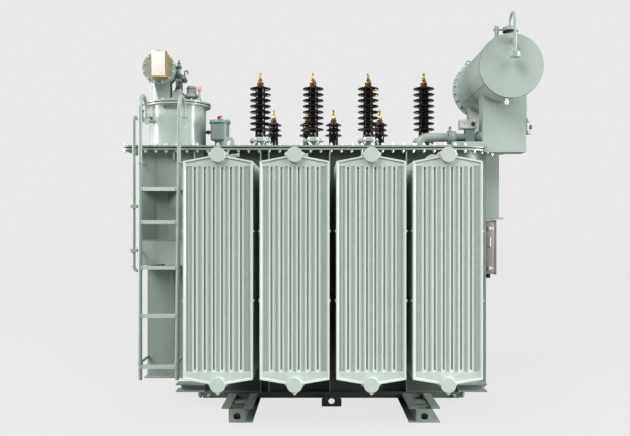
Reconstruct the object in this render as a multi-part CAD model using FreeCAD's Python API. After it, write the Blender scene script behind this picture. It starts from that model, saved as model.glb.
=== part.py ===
import FreeCAD, Part
import math
import os

# Oil-filled power transformer with an on-load tap changer, plate radiators on
# both long sides and an oil conservator at one end.  All sizes in millimetres.
# X runs along the tank, Y through it (front is -Y), Z up from the ground.

Vector = FreeCAD.Vector
X_AXIS = Vector(1, 0, 0)
Y_AXIS = Vector(0, 1, 0)
Z_AXIS = Vector(0, 0, 1)

# Tank
TANK_LEFT = -1100.0
TANK_RIGHT = 1400.0
TANK_HALF_DEPTH = 500.0
TANK_CORNER_R = 350.0
FOOT_HEIGHT = 118.0
BASE_THICK = 10.0
SKIRT_DROP = 38.0
SKIRT_THICK = 12.0
WALL_TOP = 2205.0
RIM_OVERHANG = 75.0
RIM_THICK = 14.0
GASKET_THICK = 10.0
COVER_THICK = 15.0
COVER_LEFT = -1782.0
COVER_LEFT_R = 60.0
GASKET_INSET = 26.0
GASKET_WIDTH = 45.0
COVER_TOP = WALL_TOP + GASKET_THICK + COVER_THICK
RIB_XS = (-609.0, -540.0, -20.0, 635.0)
RIB_THICK = 10.0
RIB_DEPTH = 60.0
RIM_GUSSET_XS = (-1350.0, -1175.0)
RIM_GUSSET_HEIGHT = 90.0

# Tap-changer pocket at the left end of the tank
POCKET_LEFT = -1638.0
POCKET_TOP_BOTTOM = WALL_TOP - 353.0
POCKET_BELT_TOP = 1424.0
POCKET_BELT_BOTTOM = 1203.0
POCKET_LOW_LEFT = -1616.0
POCKET_LOW_HALF_DEPTH = 350.0
POCKET_LOW_BOTTOM = 222.0
POCKET_PLATE_THICK = 10.0
POCKET_PLATE_OVERHANG = 40.0

# Feet and handling gear
FOOT_XS = (-750.0, 720.0)
FOOT_HALF_LENGTH = TANK_HALF_DEPTH + 580.0
FOOT_WEB_GAP = 110.0
FOOT_WEB_THICK = 10.0
FOOT_FLANGE_THICK = 10.0
FOOT_WIDTH = 244.0
FOOT_HOLE_R = 29.0
FOOT_HOLE_Z = 48.0
LUG_WIDTH = 168.0
LUG_NECK_WIDTH = 124.0
LUG_THICK = 30.0
LUG_BOTTOM = 14.0
LUG_HOLE_R = 27.0
LUG_HOLE_Z = 56.0
SKIRT_HALF_LENGTH = 1094.0
JACK_REACH = 1326.0
JACK_WEB_REACH = 1290.0
JACK_HEIGHT = 67.0
JACK_FRONT_Y = TANK_HALF_DEPTH + 65.0
JACK_DEPTH = 122.0
JACK_PLATE = 10.0

# Radiators
RADIATOR_PITCH = 571.0
RADIATOR_SHIFT = -4.0
RADIATOR_COUNT = 4
PANEL_WIDTH = 520.0
PANEL_THICK = 12.0
PANEL_PITCH = 45.0
PANEL_COUNT = 17
PANEL_FRONT_Y = TANK_HALF_DEPTH + 876.0
PANEL_SHOULDER_LOW = 396.0
PANEL_SHOULDER_HIGH = COVER_TOP - 207.0
PANEL_APEX_LOW = 362.0
PANEL_APEX_HIGH = COVER_TOP - 168.0
HEADER_LOW_Z = 359.0
HEADER_HIGH_Z = COVER_TOP - 160.0
HEADER_R = 44.0
HEADER_CAP_R = 57.0
HEADER_CAP_Y = PANEL_FRONT_Y + 26.0
HEADER_BACK_Y = TANK_HALF_DEPTH + 140.0
VALVE_FLANGE_R = 75.0
VALVE_BODY_R = 52.0
VALVE_FLANGE_THICK = 18.0
STAY_ZS = (976.0, 1495.0)
STAY_SIZE = 14.0

# Bushings
HV_XS = (-631.0, -158.0, 335.0, 833.0)
HV_Y = -230.0
HV_FLANGE_R = 95.0
HV_FLANGE_Z = COVER_TOP + 78.0
HV_FLANGE_THICK = 13.0
HV_NECK_R = 48.0
HV_SHED_R = 95.0
HV_CORE_R = 43.0
HV_FIRST_SHED = COVER_TOP + 176.0
HV_SHED_PITCH = 52.0
HV_SHED_COUNT = 8
HV_COLLAR_Z = COVER_TOP + 556.0
HV_BRASS_Z = COVER_TOP + 596.0
HV_STUD_Z = COVER_TOP + 629.0
HV_TOP_Z = COVER_TOP + 684.0
LV_XS = (-541.0, -214.0, 34.0, 476.0)
LV_Y = 250.0
LV_CORE_R = 44.0
LV_SHEDS = ((COVER_TOP + 181.0, 82.0), (COVER_TOP + 231.0, 72.0), (COVER_TOP + 280.0, 78.0))
LV_COLLAR_Z = COVER_TOP + 300.0
LV_BRASS_Z = COVER_TOP + 331.0
LV_STUD_Z = COVER_TOP + 371.0
LV_TOP_Z = COVER_TOP + 430.0
STUD_R = 8.0

# Tap changer head
TAP_X = -1395.0
TAP_Y = -100.0
TAP_R = 254.0
TAP_WALL = 10.0
TAP_RIM_R = TAP_R + 42.0
TAP_RIM_Z = COVER_TOP + 391.0
TAP_COVER_Z = TAP_RIM_Z + 14.0
TAP_TOP_Z = TAP_COVER_Z + 22.0
DRIVE_TOP_Z = TAP_TOP_Z + 115.0

# Small conservator of the tap changer
SMALL_X = -1535.0
SMALL_Z = COVER_TOP + 723.0
SMALL_R = 132.0
SMALL_FLANGE_R = SMALL_R + 13.0
SMALL_FRONT_Y = -270.0
SMALL_BACK_Y = -60.0
SHELL_WALL = 6.0

# Main conservator
DRUM_X = 1492.0
DRUM_Z = COVER_TOP + 645.0
DRUM_R = 268.0
DRUM_FLANGE_R = DRUM_R + 22.0
DRUM_FRONT_Y = -730.0
DRUM_BACK_Y = 370.0
DRUM_PLATE_THICK = 14.0
BRACKET_LEFT = 1309.0
BRACKET_RIGHT = 1680.0
BRACKET_FRONT_Y = -485.0
BRACKET_DEPTH = 170.0
BRACKET_BOTTOM = COVER_TOP - 50.0
BRACKET_BACK_Y = 150.0
BRACKET_PLATE = 10.0

# Pipework
OIL_PIPE_R = 38.0
OIL_PIPE_Y = -380.0
OIL_PIPE_Z = COVER_TOP + 88.0
OIL_PIPE_X = 765.0
RELAY_LEFT = 1073.0
RELAY_RIGHT = 1300.0
RELAY_FLANGE_R = 54.0
DRAIN_PIPE_R = 14.0
DRAIN_X = -1672.0
DRAIN_Y = -(TANK_HALF_DEPTH + 112.0)
VENT_R = 12.0
VENT_X = 1500.0
RIGHT_EXTENT = 1782.0

# Ladder
LADDER_XS = (-1609.0, -1279.0)
LADDER_Y = -(TANK_HALF_DEPTH + 150.0)
LADDER_R = 17.0
LADDER_BOTTOM = 248.0
LADDER_BEND_TOP = COVER_TOP + 420.0
LADDER_BEND_R = 115.0
LADDER_TAIL_Z = COVER_TOP + 200.0
RUNG_ZS = (359.0, 786.0, 1191.0, 1575.0, 1853.0)
RUNG_SIZE = 31.0
LADDER_LEAN = 22.0


def box(x0, x1, y0, y1, z0, z1):
    """Block between two corners."""
    return Part.makeBox(x1 - x0, y1 - y0, z1 - z0, Vector(x0, y0, z0))


def post(x, y, z0, z1, radius):
    """Upright cylinder."""
    return Part.makeCylinder(radius, z1 - z0, Vector(x, y, z0), Z_AXIS)


def bar_y(x, z, y0, y1, radius):
    """Cylinder lying front to back."""
    return Part.makeCylinder(radius, y1 - y0, Vector(x, y0, z), Y_AXIS)


def bar_x(y, z, x0, x1, radius):
    """Cylinder lying left to right."""
    return Part.makeCylinder(radius, x1 - x0, Vector(x0, y, z), X_AXIS)


def join(shapes):
    """One solid from touching or crossing solids."""
    return shapes[0].multiFuse(shapes[1:]).removeSplitter()


def group(shapes):
    """Separate like solids kept in one file."""
    return Part.makeCompound(shapes)


def both_sides(shape):
    """The shape and its mirror image at the back of the tank."""
    return shape.mirror(Vector(0, 0, 0), Y_AXIS)


def prism(points, z0, z1):
    """Upright prism on a plan outline."""
    corners = [Vector(x, y, z0) for x, y in points]
    wire = Part.makePolygon(corners + corners[:1])
    return Part.Face(wire).extrude(Vector(0, 0, z1 - z0))


def side_prism(points, y0, y1):
    """Prism front to back on an outline in the X-Z plane."""
    corners = [Vector(x, y0, z) for x, z in points]
    wire = Part.makePolygon(corners + corners[:1])
    return Part.Face(wire).extrude(Vector(0, y1 - y0, 0))


def turned(x, y, profile):
    """Solid of revolution about an upright axis from (radius, height) pairs."""
    corners = [Vector(x + r, y, z) for r, z in profile]
    wire = Part.makePolygon(corners + corners[:1])
    return Part.Face(wire).revolve(Vector(x, y, 0), Z_AXIS, 360)


def plan_plate(x0, x1, half_depth, left_r, right_r, z0, z1):
    """Plate with rounded corners, symmetric front to back."""
    plate = box(x0, x1, -half_depth, half_depth, z0, z1)
    upright = [edge for edge in plate.Edges if is_upright(edge)]
    left = [edge for edge in upright if edge.CenterOfMass.x < (x0 + x1) / 2]
    right = [edge for edge in upright if edge.CenterOfMass.x > (x0 + x1) / 2]
    if left_r > 0:
        plate = plate.makeFillet(left_r, left)
        upright = [edge for edge in plate.Edges if is_upright(edge)]
        right = [edge for edge in upright if abs(edge.CenterOfMass.x - x1) < 0.01]
    return plate.makeFillet(right_r, right)


def is_upright(edge):
    """True for an edge that runs along Z."""
    ends = [vertex.Point for vertex in edge.Vertexes]
    if len(ends) != 2:
        return False
    return abs(ends[0].x - ends[1].x) < 0.01 and abs(ends[0].y - ends[1].y) < 0.01


def pipe(points, radius, bend):
    """Round bar along straight runs joined by bends of one radius."""
    path = [Vector(*point) for point in points]
    edges = []
    start = path[0]
    for index in range(1, len(path) - 1):
        corner = path[index]
        into = (corner - path[index - 1]).normalize()
        out = (path[index + 1] - corner).normalize()
        half_turn = into.getAngle(out) / 2
        cut = bend * math.tan(half_turn)
        first = corner - into * cut
        last = corner + out * cut
        inward = (out - into).normalize()
        middle = corner + inward * (bend / math.cos(half_turn) - bend)
        if (first - start).Length > 0.01:
            edges.append(Part.makeLine(start, first))
        edges.append(Part.Arc(first, middle, last).toShape())
        start = last
    if (path[-1] - start).Length > 0.01:
        edges.append(Part.makeLine(start, path[-1]))
    spine = Part.Wire(edges)
    direction = (path[1] - path[0]).normalize()
    ring = Part.Wire([Part.makeCircle(radius, path[0], direction)])
    return spine.makePipeShell([ring], True, True)


def tank_outline(grow, z0, z1):
    """Tank wall outline, grown outwards all round by a given width."""
    left_r = 0.0
    right_r = TANK_CORNER_R + grow
    half = TANK_HALF_DEPTH + grow
    return plan_plate(TANK_LEFT - grow, TANK_RIGHT + grow, half, left_r, right_r, z0, z1)


def tank():
    """Tank walls, base plate, skirt, top rim, gasket and cover."""
    base_top = FOOT_HEIGHT + BASE_THICK
    half = TANK_HALF_DEPTH + RIM_OVERHANG
    right = TANK_RIGHT + RIM_OVERHANG
    right_r = TANK_CORNER_R + RIM_OVERHANG
    body = tank_outline(0.0, base_top, WALL_TOP)
    reach = SKIRT_HALF_LENGTH
    base = tank_outline(0.0, FOOT_HEIGHT, base_top)
    base = join([base, box(-reach, reach, -half, half, FOOT_HEIGHT, base_top)])
    low = FOOT_HEIGHT - SKIRT_DROP
    skirt = box(-reach, reach, -half, -half + SKIRT_THICK, low, FOOT_HEIGHT)
    skirt = group([skirt, both_sides(skirt)])
    for x in FOOT_XS:
        gap = FOOT_WIDTH / 2 + 1
        skirt = skirt.cut(box(x - gap, x + gap, -half, half, 0.0, FOOT_HEIGHT))
    pocket_hole = box(POCKET_LEFT, TANK_LEFT, -TANK_HALF_DEPTH, TANK_HALF_DEPTH,
                      WALL_TOP - RIM_THICK, WALL_TOP)
    rim = plan_plate(COVER_LEFT, right, half, COVER_LEFT_R, right_r,
                     WALL_TOP - RIM_THICK, WALL_TOP)
    rim = rim.cut(tank_outline(0.0, WALL_TOP - RIM_THICK, WALL_TOP)).cut(pocket_hole)
    inset = GASKET_INSET
    gasket_top = WALL_TOP + GASKET_THICK
    gasket = plan_plate(COVER_LEFT + inset, right - inset, half - inset,
                        COVER_LEFT_R - inset, right_r - inset, WALL_TOP, gasket_top)
    inset = GASKET_INSET + GASKET_WIDTH
    gasket = gasket.cut(plan_plate(COVER_LEFT + inset, right - inset, half - inset,
                                   5.0, right_r - inset, WALL_TOP, gasket_top))
    cover = plan_plate(COVER_LEFT, right, half, COVER_LEFT_R, right_r,
                       gasket_top, COVER_TOP)
    return {
        "tank_body": body,
        "tank_base": base,
        "tank_skirt": skirt,
        "tank_rim": rim,
        "cover_gasket": gasket,
        "tank_cover": cover,
    }


def wall_ribs():
    """Upright flat bars that stiffen the long walls, and gussets under the rim."""
    y0 = -TANK_HALF_DEPTH - RIB_DEPTH
    top = WALL_TOP - RIM_THICK
    bottom = FOOT_HEIGHT + BASE_THICK
    ribs = []
    for x in RIB_XS:
        ribs.append(box(x, x + RIB_THICK, y0, -TANK_HALF_DEPTH, bottom, top))
    gussets = []
    for x in RIM_GUSSET_XS:
        low = top - RIM_GUSSET_HEIGHT
        gussets.append(box(x, x + RIB_THICK, y0, -TANK_HALF_DEPTH, low, top))
    bars = ribs + gussets
    return {"wall_ribs": group(bars + [both_sides(bar) for bar in bars])}


def pocket():
    """Stepped housing under the tap changer at the left end of the tank."""
    half = TANK_HALF_DEPTH
    upper = box(POCKET_LEFT, TANK_LEFT, -half, half, POCKET_TOP_BOTTOM, WALL_TOP)
    outline = [(POCKET_LEFT, -half), (POCKET_LEFT + 10, -half), (-1528, -390), (-1427, -390),
               (-1330, -470), (TANK_LEFT, -470)]
    outline = outline + [(x, -y) for x, y in reversed(outline)]
    middle = prism(outline, POCKET_BELT_TOP, POCKET_TOP_BOTTOM)
    belt = box(POCKET_LEFT, TANK_LEFT, -half, half, POCKET_BELT_BOTTOM, POCKET_BELT_TOP)
    low = POCKET_LOW_HALF_DEPTH
    lower = box(POCKET_LOW_LEFT, TANK_LEFT, -low, low, POCKET_LOW_BOTTOM, POCKET_BELT_BOTTOM)
    edge = POCKET_PLATE_OVERHANG
    plate = box(POCKET_LOW_LEFT - edge / 2, TANK_LEFT, -low - edge, low + edge,
                POCKET_LOW_BOTTOM - POCKET_PLATE_THICK, POCKET_LOW_BOTTOM)
    return {
        "pocket_upper": upper,
        "pocket_middle": middle,
        "pocket_belt": belt,
        "pocket_lower": join([lower, plate]),
    }


def foot(x):
    """Skid beam of two channels back to back with drilled end plates."""
    gap = FOOT_WEB_GAP / 2
    half = FOOT_WIDTH / 2
    end = FOOT_HALF_LENGTH
    parts = []
    for side in (-1, 1):
        web = sorted((x + side * gap, x + side * (gap + FOOT_WEB_THICK)))
        flange = sorted((x + side * gap, x + side * half))
        parts.append(box(web[0], web[1], -end, end, 0.0, FOOT_HEIGHT))
        if x > 0 or side > 0:
            parts.append(box(flange[0], flange[1], -end, end, 0.0, FOOT_FLANGE_THICK))
        top = FOOT_HEIGHT - FOOT_FLANGE_THICK
        parts.append(box(flange[0], flange[1], -end, end, top, FOOT_HEIGHT))
    for y in (-end, -end + 330, end - 342, end - 12):
        parts.append(box(x - gap, x + gap, y, y + 12, 0.0, FOOT_HEIGHT - 12))
    beam = join(parts)
    for y in (-end - 5, end - 25):
        beam = beam.cut(bar_y(x, FOOT_HOLE_Z, y, y + 30, FOOT_HOLE_R))
    return beam


def jacking_bracket(side):
    """I-section bracket on the tank end for lifting with a jack."""
    low = FOOT_HEIGHT + BASE_THICK
    top = low + JACK_HEIGHT
    y0 = -JACK_FRONT_Y
    y1 = y0 + JACK_DEPTH
    web_y = (y0 + y1) / 2
    root = TANK_HALF_DEPTH
    plates = [
        box(root, JACK_REACH, y0, y1, low, low + JACK_PLATE),
        box(root, JACK_REACH, y0, y1, top - JACK_PLATE, top),
        box(root, JACK_WEB_REACH, web_y - 5, web_y + 5, low, top),
    ]
    bracket = join(plates)
    if side < 0:
        bracket = bracket.mirror(Vector(0, 0, 0), X_AXIS)
    inner = TANK_HALF_DEPTH
    keep = box(*sorted((side * (SKIRT_HALF_LENGTH - 14), side * (JACK_REACH + 10))),
               y0 - 5, y1 + 5, low - 5, top + 5)
    bracket = bracket.common(keep)
    return largest(bracket.cut(tank_outline(0.0, 0.0, WALL_TOP)))


def handling():
    """Feet, pulling lugs and jacking brackets."""
    half = LUG_WIDTH / 2
    neck = LUG_NECK_WIDTH / 2
    y1 = -TANK_HALF_DEPTH - RIM_OVERHANG + SKIRT_THICK
    y0 = y1 - LUG_THICK - SKIRT_THICK
    outline = [(-half, LUG_BOTTOM), (half, LUG_BOTTOM), (half, 74), (neck, 86),
               (neck, FOOT_HEIGHT), (-neck, FOOT_HEIGHT), (-neck, 86), (-half, 74)]
    lug = side_prism(outline, y0, y1 - SKIRT_THICK)
    lug = lug.cut(bar_y(0.0, LUG_HOLE_Z, y0 - 5, y1 + 5, LUG_HOLE_R))
    jacks = [jacking_bracket(side) for side in (-1, 1)]
    return {
        "feet": group([foot(x) for x in FOOT_XS]),
        "pulling_lugs": group([lug, both_sides(lug)]),
        "jacking_brackets": group(jacks + [both_sides(jack) for jack in jacks]),
    }


def radiator(x):
    """Plate radiator: a bank of hollow panels on two headers."""
    half = PANEL_WIDTH / 2
    shoulder = HEADER_CAP_R
    outline = [
        (x - half, PANEL_SHOULDER_LOW), (x - shoulder, PANEL_APEX_LOW),
        (x + shoulder, PANEL_APEX_LOW), (x + half, PANEL_SHOULDER_LOW),
        (x + half, PANEL_SHOULDER_HIGH), (x + shoulder, PANEL_APEX_HIGH),
        (x - shoulder, PANEL_APEX_HIGH), (x - half, PANEL_SHOULDER_HIGH),
    ]
    parts = []
    for index in range(PANEL_COUNT):
        y = -PANEL_FRONT_Y + index * PANEL_PITCH
        parts.append(side_prism(outline, y, y + PANEL_THICK))
    for z in (HEADER_LOW_Z, HEADER_HIGH_Z):
        cap_back = -PANEL_FRONT_Y + PANEL_THICK
        parts.append(bar_y(x, z, -HEADER_CAP_Y, -HEADER_BACK_Y, HEADER_R))
        parts.append(bar_y(x, z, -HEADER_CAP_Y, cap_back, HEADER_CAP_R))
    stack_back = -PANEL_FRONT_Y + (PANEL_COUNT - 1) * PANEL_PITCH + PANEL_THICK
    for z in STAY_ZS:
        for side in (-1, 1):
            xs = sorted((x + side * (half - 6), x + side * (half + 8)))
            parts.append(box(xs[0], xs[1], -PANEL_FRONT_Y, stack_back, z, z + STAY_SIZE))
    return join(parts)


def header_valve(x, z):
    """Flanged shut-off valve between a header and the tank wall."""
    y0 = -HEADER_BACK_Y
    y1 = -TANK_HALF_DEPTH
    parts = [
        bar_y(x, z, y0, y0 + VALVE_FLANGE_THICK, VALVE_FLANGE_R),
        bar_y(x, z, y0, y1, VALVE_BODY_R),
        bar_y(x, z, y1 - 50, y1 - 50 + VALVE_FLANGE_THICK, VALVE_FLANGE_R),
        post(x, (y0 + y1) / 2, z, z + 70, 16),
    ]
    return join(parts)


def radiators():
    """Four radiators on each long side with their valves."""
    middle = (RADIATOR_COUNT - 1) / 2
    xs = [(index - middle) * RADIATOR_PITCH + RADIATOR_SHIFT for index in range(RADIATOR_COUNT)]
    reach = tank_outline(0.0, 0.0, WALL_TOP)
    banks = [radiator(x) for x in xs]
    valves = [header_valve(x, z).cut(reach) for x in xs for z in (HEADER_LOW_Z, HEADER_HIGH_Z)]
    return {
        "radiators_front": group(banks),
        "radiators_back": group([both_sides(bank) for bank in banks]),
        "radiator_valves": group(valves + [both_sides(valve) for valve in valves]),
    }


def shed_profile(core, sheds):
    """Radius-height pairs of flat sheds up a core."""
    profile = []
    for z, radius in sheds:
        profile.append((core, z - 8))
        profile.append((radius - 5, z - 5))
        profile.append((radius, z))
        profile.append((radius - 5, z + 5))
        profile.append((core + 12, z + 9))
        profile.append((core, z + 15))
    return profile


def hv_bushings():
    """Four tall porcelain bushings on turrets, with their terminals."""
    flange_low = HV_FLANGE_Z - HV_FLANGE_THICK
    sheds = [(HV_FIRST_SHED + i * HV_SHED_PITCH, HV_SHED_R) for i in range(HV_SHED_COUNT)]
    turrets = []
    insulators = []
    terminals = []
    for x in HV_XS:
        turrets.append(turned(x, HV_Y, [
            (0, COVER_TOP), (HV_NECK_R + 28, COVER_TOP), (HV_NECK_R + 28, COVER_TOP + 5),
            (HV_NECK_R, COVER_TOP + 34), (HV_NECK_R, flange_low), (HV_FLANGE_R, flange_low),
            (HV_FLANGE_R, HV_FLANGE_Z), (HV_FLANGE_R - 32, HV_FLANGE_Z + 9),
            (HV_CORE_R + 9, HV_FLANGE_Z + 28), (0, HV_FLANGE_Z + 28)]))
        foot_z = HV_FLANGE_Z + 28
        profile = [(0, foot_z), (HV_CORE_R + 3, foot_z), (HV_CORE_R + 3, foot_z + 48)]
        profile = profile + shed_profile(HV_CORE_R, sheds)
        profile = profile + [(HV_CORE_R - 14, HV_COLLAR_Z), (0, HV_COLLAR_Z)]
        insulators.append(turned(x, HV_Y, profile))
        terminals.append(turned(x, HV_Y, terminal_profile(
            HV_COLLAR_Z, HV_BRASS_Z, HV_STUD_Z, HV_TOP_Z, 30, 26)))
    return {
        "hv_turrets": group(turrets),
        "hv_insulators": group(insulators),
        "hv_terminals": group(terminals),
    }


def terminal_profile(collar_z, brass_z, stud_z, top_z, collar_r, cone_r):
    """Seal collar, brass cone, lock nut and threaded stud."""
    return [(0, collar_z), (collar_r, collar_z), (collar_r, brass_z), (cone_r, brass_z),
            (cone_r, brass_z + 8), (14, stud_z), (STUD_R, stud_z), (STUD_R, top_z), (0, top_z)]


def lv_bushings():
    """Four short bushings behind the tall ones, with seats and terminals."""
    seats = []
    insulators = []
    terminals = []
    for x in LV_XS:
        seats.append(turned(x, LV_Y, [
            (0, COVER_TOP), (88, COVER_TOP), (88, COVER_TOP + 14), (66, COVER_TOP + 14),
            (60, COVER_TOP + 34), (0, COVER_TOP + 34)]))
        foot_z = COVER_TOP + 34
        profile = [(0, foot_z), (LV_CORE_R + 3, foot_z), (LV_CORE_R, foot_z + 20)]
        profile = profile + shed_profile(LV_CORE_R, LV_SHEDS)
        profile = profile + [(LV_CORE_R - 14, LV_COLLAR_Z + 6), (0, LV_COLLAR_Z + 6)]
        insulators.append(turned(x, LV_Y, profile))
        terminals.append(turned(x, LV_Y, terminal_profile(
            LV_COLLAR_Z + 6, LV_BRASS_Z, LV_STUD_Z, LV_TOP_Z, 29, 26)))
    return {
        "lv_seats": group(seats),
        "lv_insulators": group(insulators),
        "lv_terminals": group(terminals),
    }


def tap_changer():
    """Tap changer head: drum on the cover, bolted lid and what stands on it."""
    body = turned(TAP_X, TAP_Y, [
        (TAP_R - TAP_WALL, COVER_TOP), (TAP_R + 42, COVER_TOP), (TAP_R + 42, COVER_TOP + 12),
        (TAP_R, COVER_TOP + 12), (TAP_R, TAP_RIM_Z), (TAP_RIM_R, TAP_RIM_Z),
        (TAP_RIM_R, TAP_COVER_Z), (TAP_R - TAP_WALL, TAP_COVER_Z)])
    lid = turned(TAP_X, TAP_Y, [
        (0, TAP_COVER_Z), (TAP_RIM_R - 8, TAP_COVER_Z), (TAP_RIM_R - 8, TAP_COVER_Z + 6),
        (TAP_RIM_R, TAP_COVER_Z + 6), (TAP_RIM_R, TAP_TOP_Z), (0, TAP_TOP_Z)])
    dome = turned(-1270, TAP_Y, [
        (0, TAP_TOP_Z), (52, TAP_TOP_Z), (52, TAP_TOP_Z + 14), (36, TAP_TOP_Z + 18),
        (36, TAP_TOP_Z + 42), (68, TAP_TOP_Z + 58), (70, TAP_TOP_Z + 68),
        (58, TAP_TOP_Z + 84), (44, TAP_TOP_Z + 96), (42, TAP_TOP_Z + 150),
        (34, TAP_TOP_Z + 162), (0, TAP_TOP_Z + 162)])
    plug = turned(-1190, TAP_Y - 60, [
        (0, TAP_TOP_Z), (18, TAP_TOP_Z), (18, COVER_TOP + 470), (10, COVER_TOP + 476), (10, COVER_TOP + 530), (15, COVER_TOP + 534),
        (15, COVER_TOP + 576), (6, COVER_TOP + 582), (0, COVER_TOP + 582)])
    gear_case = join([
        box(-1430, -1342, -190, -60, TAP_TOP_Z, COVER_TOP + 526),
        post(-1388, -125, TAP_TOP_Z, DRIVE_TOP_Z, 42),
    ])
    return {
        "tap_changer_head": body,
        "tap_changer_lid": lid,
        "tap_changer_dome": dome,
        "tap_changer_vent": plug,
        "tap_changer_drive": gear_case,
    }


def small_conservator():
    """Small oil drum over the tap changer with its gauge, bracket and relay."""
    front = SMALL_FRONT_Y + DRUM_PLATE_THICK
    outer = bar_y(SMALL_X, SMALL_Z, front, SMALL_BACK_Y, SMALL_R)
    shell = outer.cut(bar_y(SMALL_X, SMALL_Z, front, SMALL_BACK_Y, SMALL_R - SHELL_WALL))
    front_end = bar_y(SMALL_X, SMALL_Z, SMALL_FRONT_Y, front, SMALL_FLANGE_R)
    back_end = bar_y(SMALL_X, SMALL_Z, SMALL_BACK_Y, SMALL_BACK_Y + 10, SMALL_R)
    shell = join([shell, back_end])
    low = SMALL_Z - SMALL_R
    outline = [(-1550, TAP_TOP_Z), (-1445, TAP_TOP_Z), (-1455, low + 50), (-1600, low + 50)]
    web = box(-1505, -1490, -190, SMALL_BACK_Y, TAP_TOP_Z, low + 30)
    bracket = join([side_prism(outline, -190, -170),
                    side_prism(outline, SMALL_BACK_Y - 20, SMALL_BACK_Y), web])
    bracket = largest(bracket.cut(bar_y(SMALL_X, SMALL_Z, -300, 300, SMALL_R)))
    gauge = box(-1587, -1454, SMALL_FRONT_Y - 62, SMALL_FRONT_Y, COVER_TOP + 628, COVER_TOP + 861)
    relay_x, relay_y = -1380, -125
    relay = join([
        post(relay_x, relay_y, DRIVE_TOP_Z, SMALL_Z + 60, 17),
        post(relay_x, relay_y, DRIVE_TOP_Z, DRIVE_TOP_Z + 12, 36),
        box(relay_x - 26, relay_x + 30, relay_y - 30, relay_y + 30, DRIVE_TOP_Z + 40,
            DRIVE_TOP_Z + 96),
        post(relay_x, relay_y, DRIVE_TOP_Z + 122, DRIVE_TOP_Z + 134, 30),
        bar_x(relay_y, SMALL_Z, SMALL_X + SMALL_R - 20, relay_x, 14),
        bar_x(relay_y, DRIVE_TOP_Z + 104, relay_x, relay_x + 52, 9),
        post(relay_x + 52, relay_y, DRIVE_TOP_Z + 84, DRIVE_TOP_Z + 150, 13),
    ])
    relay = relay.cut(bar_y(SMALL_X, SMALL_Z, SMALL_FRONT_Y, SMALL_BACK_Y + 10, SMALL_R))
    return {
        "small_drum_shell": shell,
        "small_drum_front": front_end,
        "small_drum_bracket": bracket,
        "small_drum_gauge": gauge,
        "flow_relay_line": relay,
    }


def drain_pipe():
    """Thin pipe from the tap changer head down the left end to a sampling height."""
    run = pipe([(-1575, -276, COVER_TOP + 239), (DRAIN_X, -381, COVER_TOP + 239),
                (DRAIN_X, DRAIN_Y, COVER_TOP + 239), (DRAIN_X, DRAIN_Y, 1165), (-1634, DRAIN_Y, 1165)],
               DRAIN_PIPE_R, 38)
    run = run.cut(post(TAP_X, TAP_Y, COVER_TOP + 170, COVER_TOP + 300, TAP_R))
    clamps = []
    for z in (1322, 1694):
        plate = box(DRAIN_X - 24, POCKET_LEFT, DRAIN_Y - 20, DRAIN_Y + 20, z, z + 26)
        arm = box(POCKET_LEFT - 12, POCKET_LEFT, DRAIN_Y - 20, -TANK_HALF_DEPTH + 60, z, z + 26)
        clamp = join([plate, arm]).cut(post(DRAIN_X, DRAIN_Y, z - 5, z + 40, DRAIN_PIPE_R))
        clamps.append(clamp)
    return {"drain_pipe": run, "drain_pipe_clamps": group(clamps)}


def ladder():
    """Fixed ladder with hooked stiles in front of the tap changer pocket."""
    stiles = []
    tail_y = LADDER_Y + 2 * LADDER_BEND_R
    for x, lean in zip(LADDER_XS, (0.0, LADDER_LEAN)):
        route = [(x - lean, LADDER_Y, LADDER_BOTTOM), (x, LADDER_Y, LADDER_BEND_TOP),
                 (x, tail_y, LADDER_BEND_TOP), (x, tail_y, LADDER_TAIL_Z)]
        stiles.append(pipe(route, LADDER_R, LADDER_BEND_R - 0.5))
    tubes = group(stiles)
    rungs = []
    half = RUNG_SIZE / 2
    for z in RUNG_ZS:
        rung = box(LADDER_XS[0], LADDER_XS[1], LADDER_Y - half, LADDER_Y + half,
                   z - half, z + half)
        rungs.append(largest(rung.cut(tubes)))
    brackets = []
    low_right = LADDER_XS[1] - LADDER_LEAN
    for x, z, wall in ((LADDER_XS[0], 384, -POCKET_LOW_HALF_DEPTH),
                       (low_right, 384, -POCKET_LOW_HALF_DEPTH),
                       (LADDER_XS[0], WALL_TOP - 139, -TANK_HALF_DEPTH),
                       (LADDER_XS[1], WALL_TOP - 139, -TANK_HALF_DEPTH)):
        arm = box(x - 5, x + 5, LADDER_Y, wall, z, z + 20)
        collar = post(x, LADDER_Y, z, z + 20, LADDER_R + 6)
        bracket = largest(join([arm, collar]).cut(tubes))
        brackets.append(bracket)
    for x in LADDER_XS:
        arm = box(x - 6, x + 6, tail_y, TAP_Y, COVER_TOP + 262, COVER_TOP + 290)
        collar = post(x, tail_y, COVER_TOP + 258, COVER_TOP + 296, LADDER_R + 8)
        bracket = join([arm, collar]).cut(post(x, tail_y, COVER_TOP + 220, COVER_TOP + 330, LADDER_R))
        brackets.append(bracket.cut(post(TAP_X, TAP_Y, COVER_TOP + 220, COVER_TOP + 330, TAP_R)))
    return {
        "ladder_stiles": group(stiles),
        "ladder_rungs": group(rungs),
        "ladder_brackets": group(brackets),
    }


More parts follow.
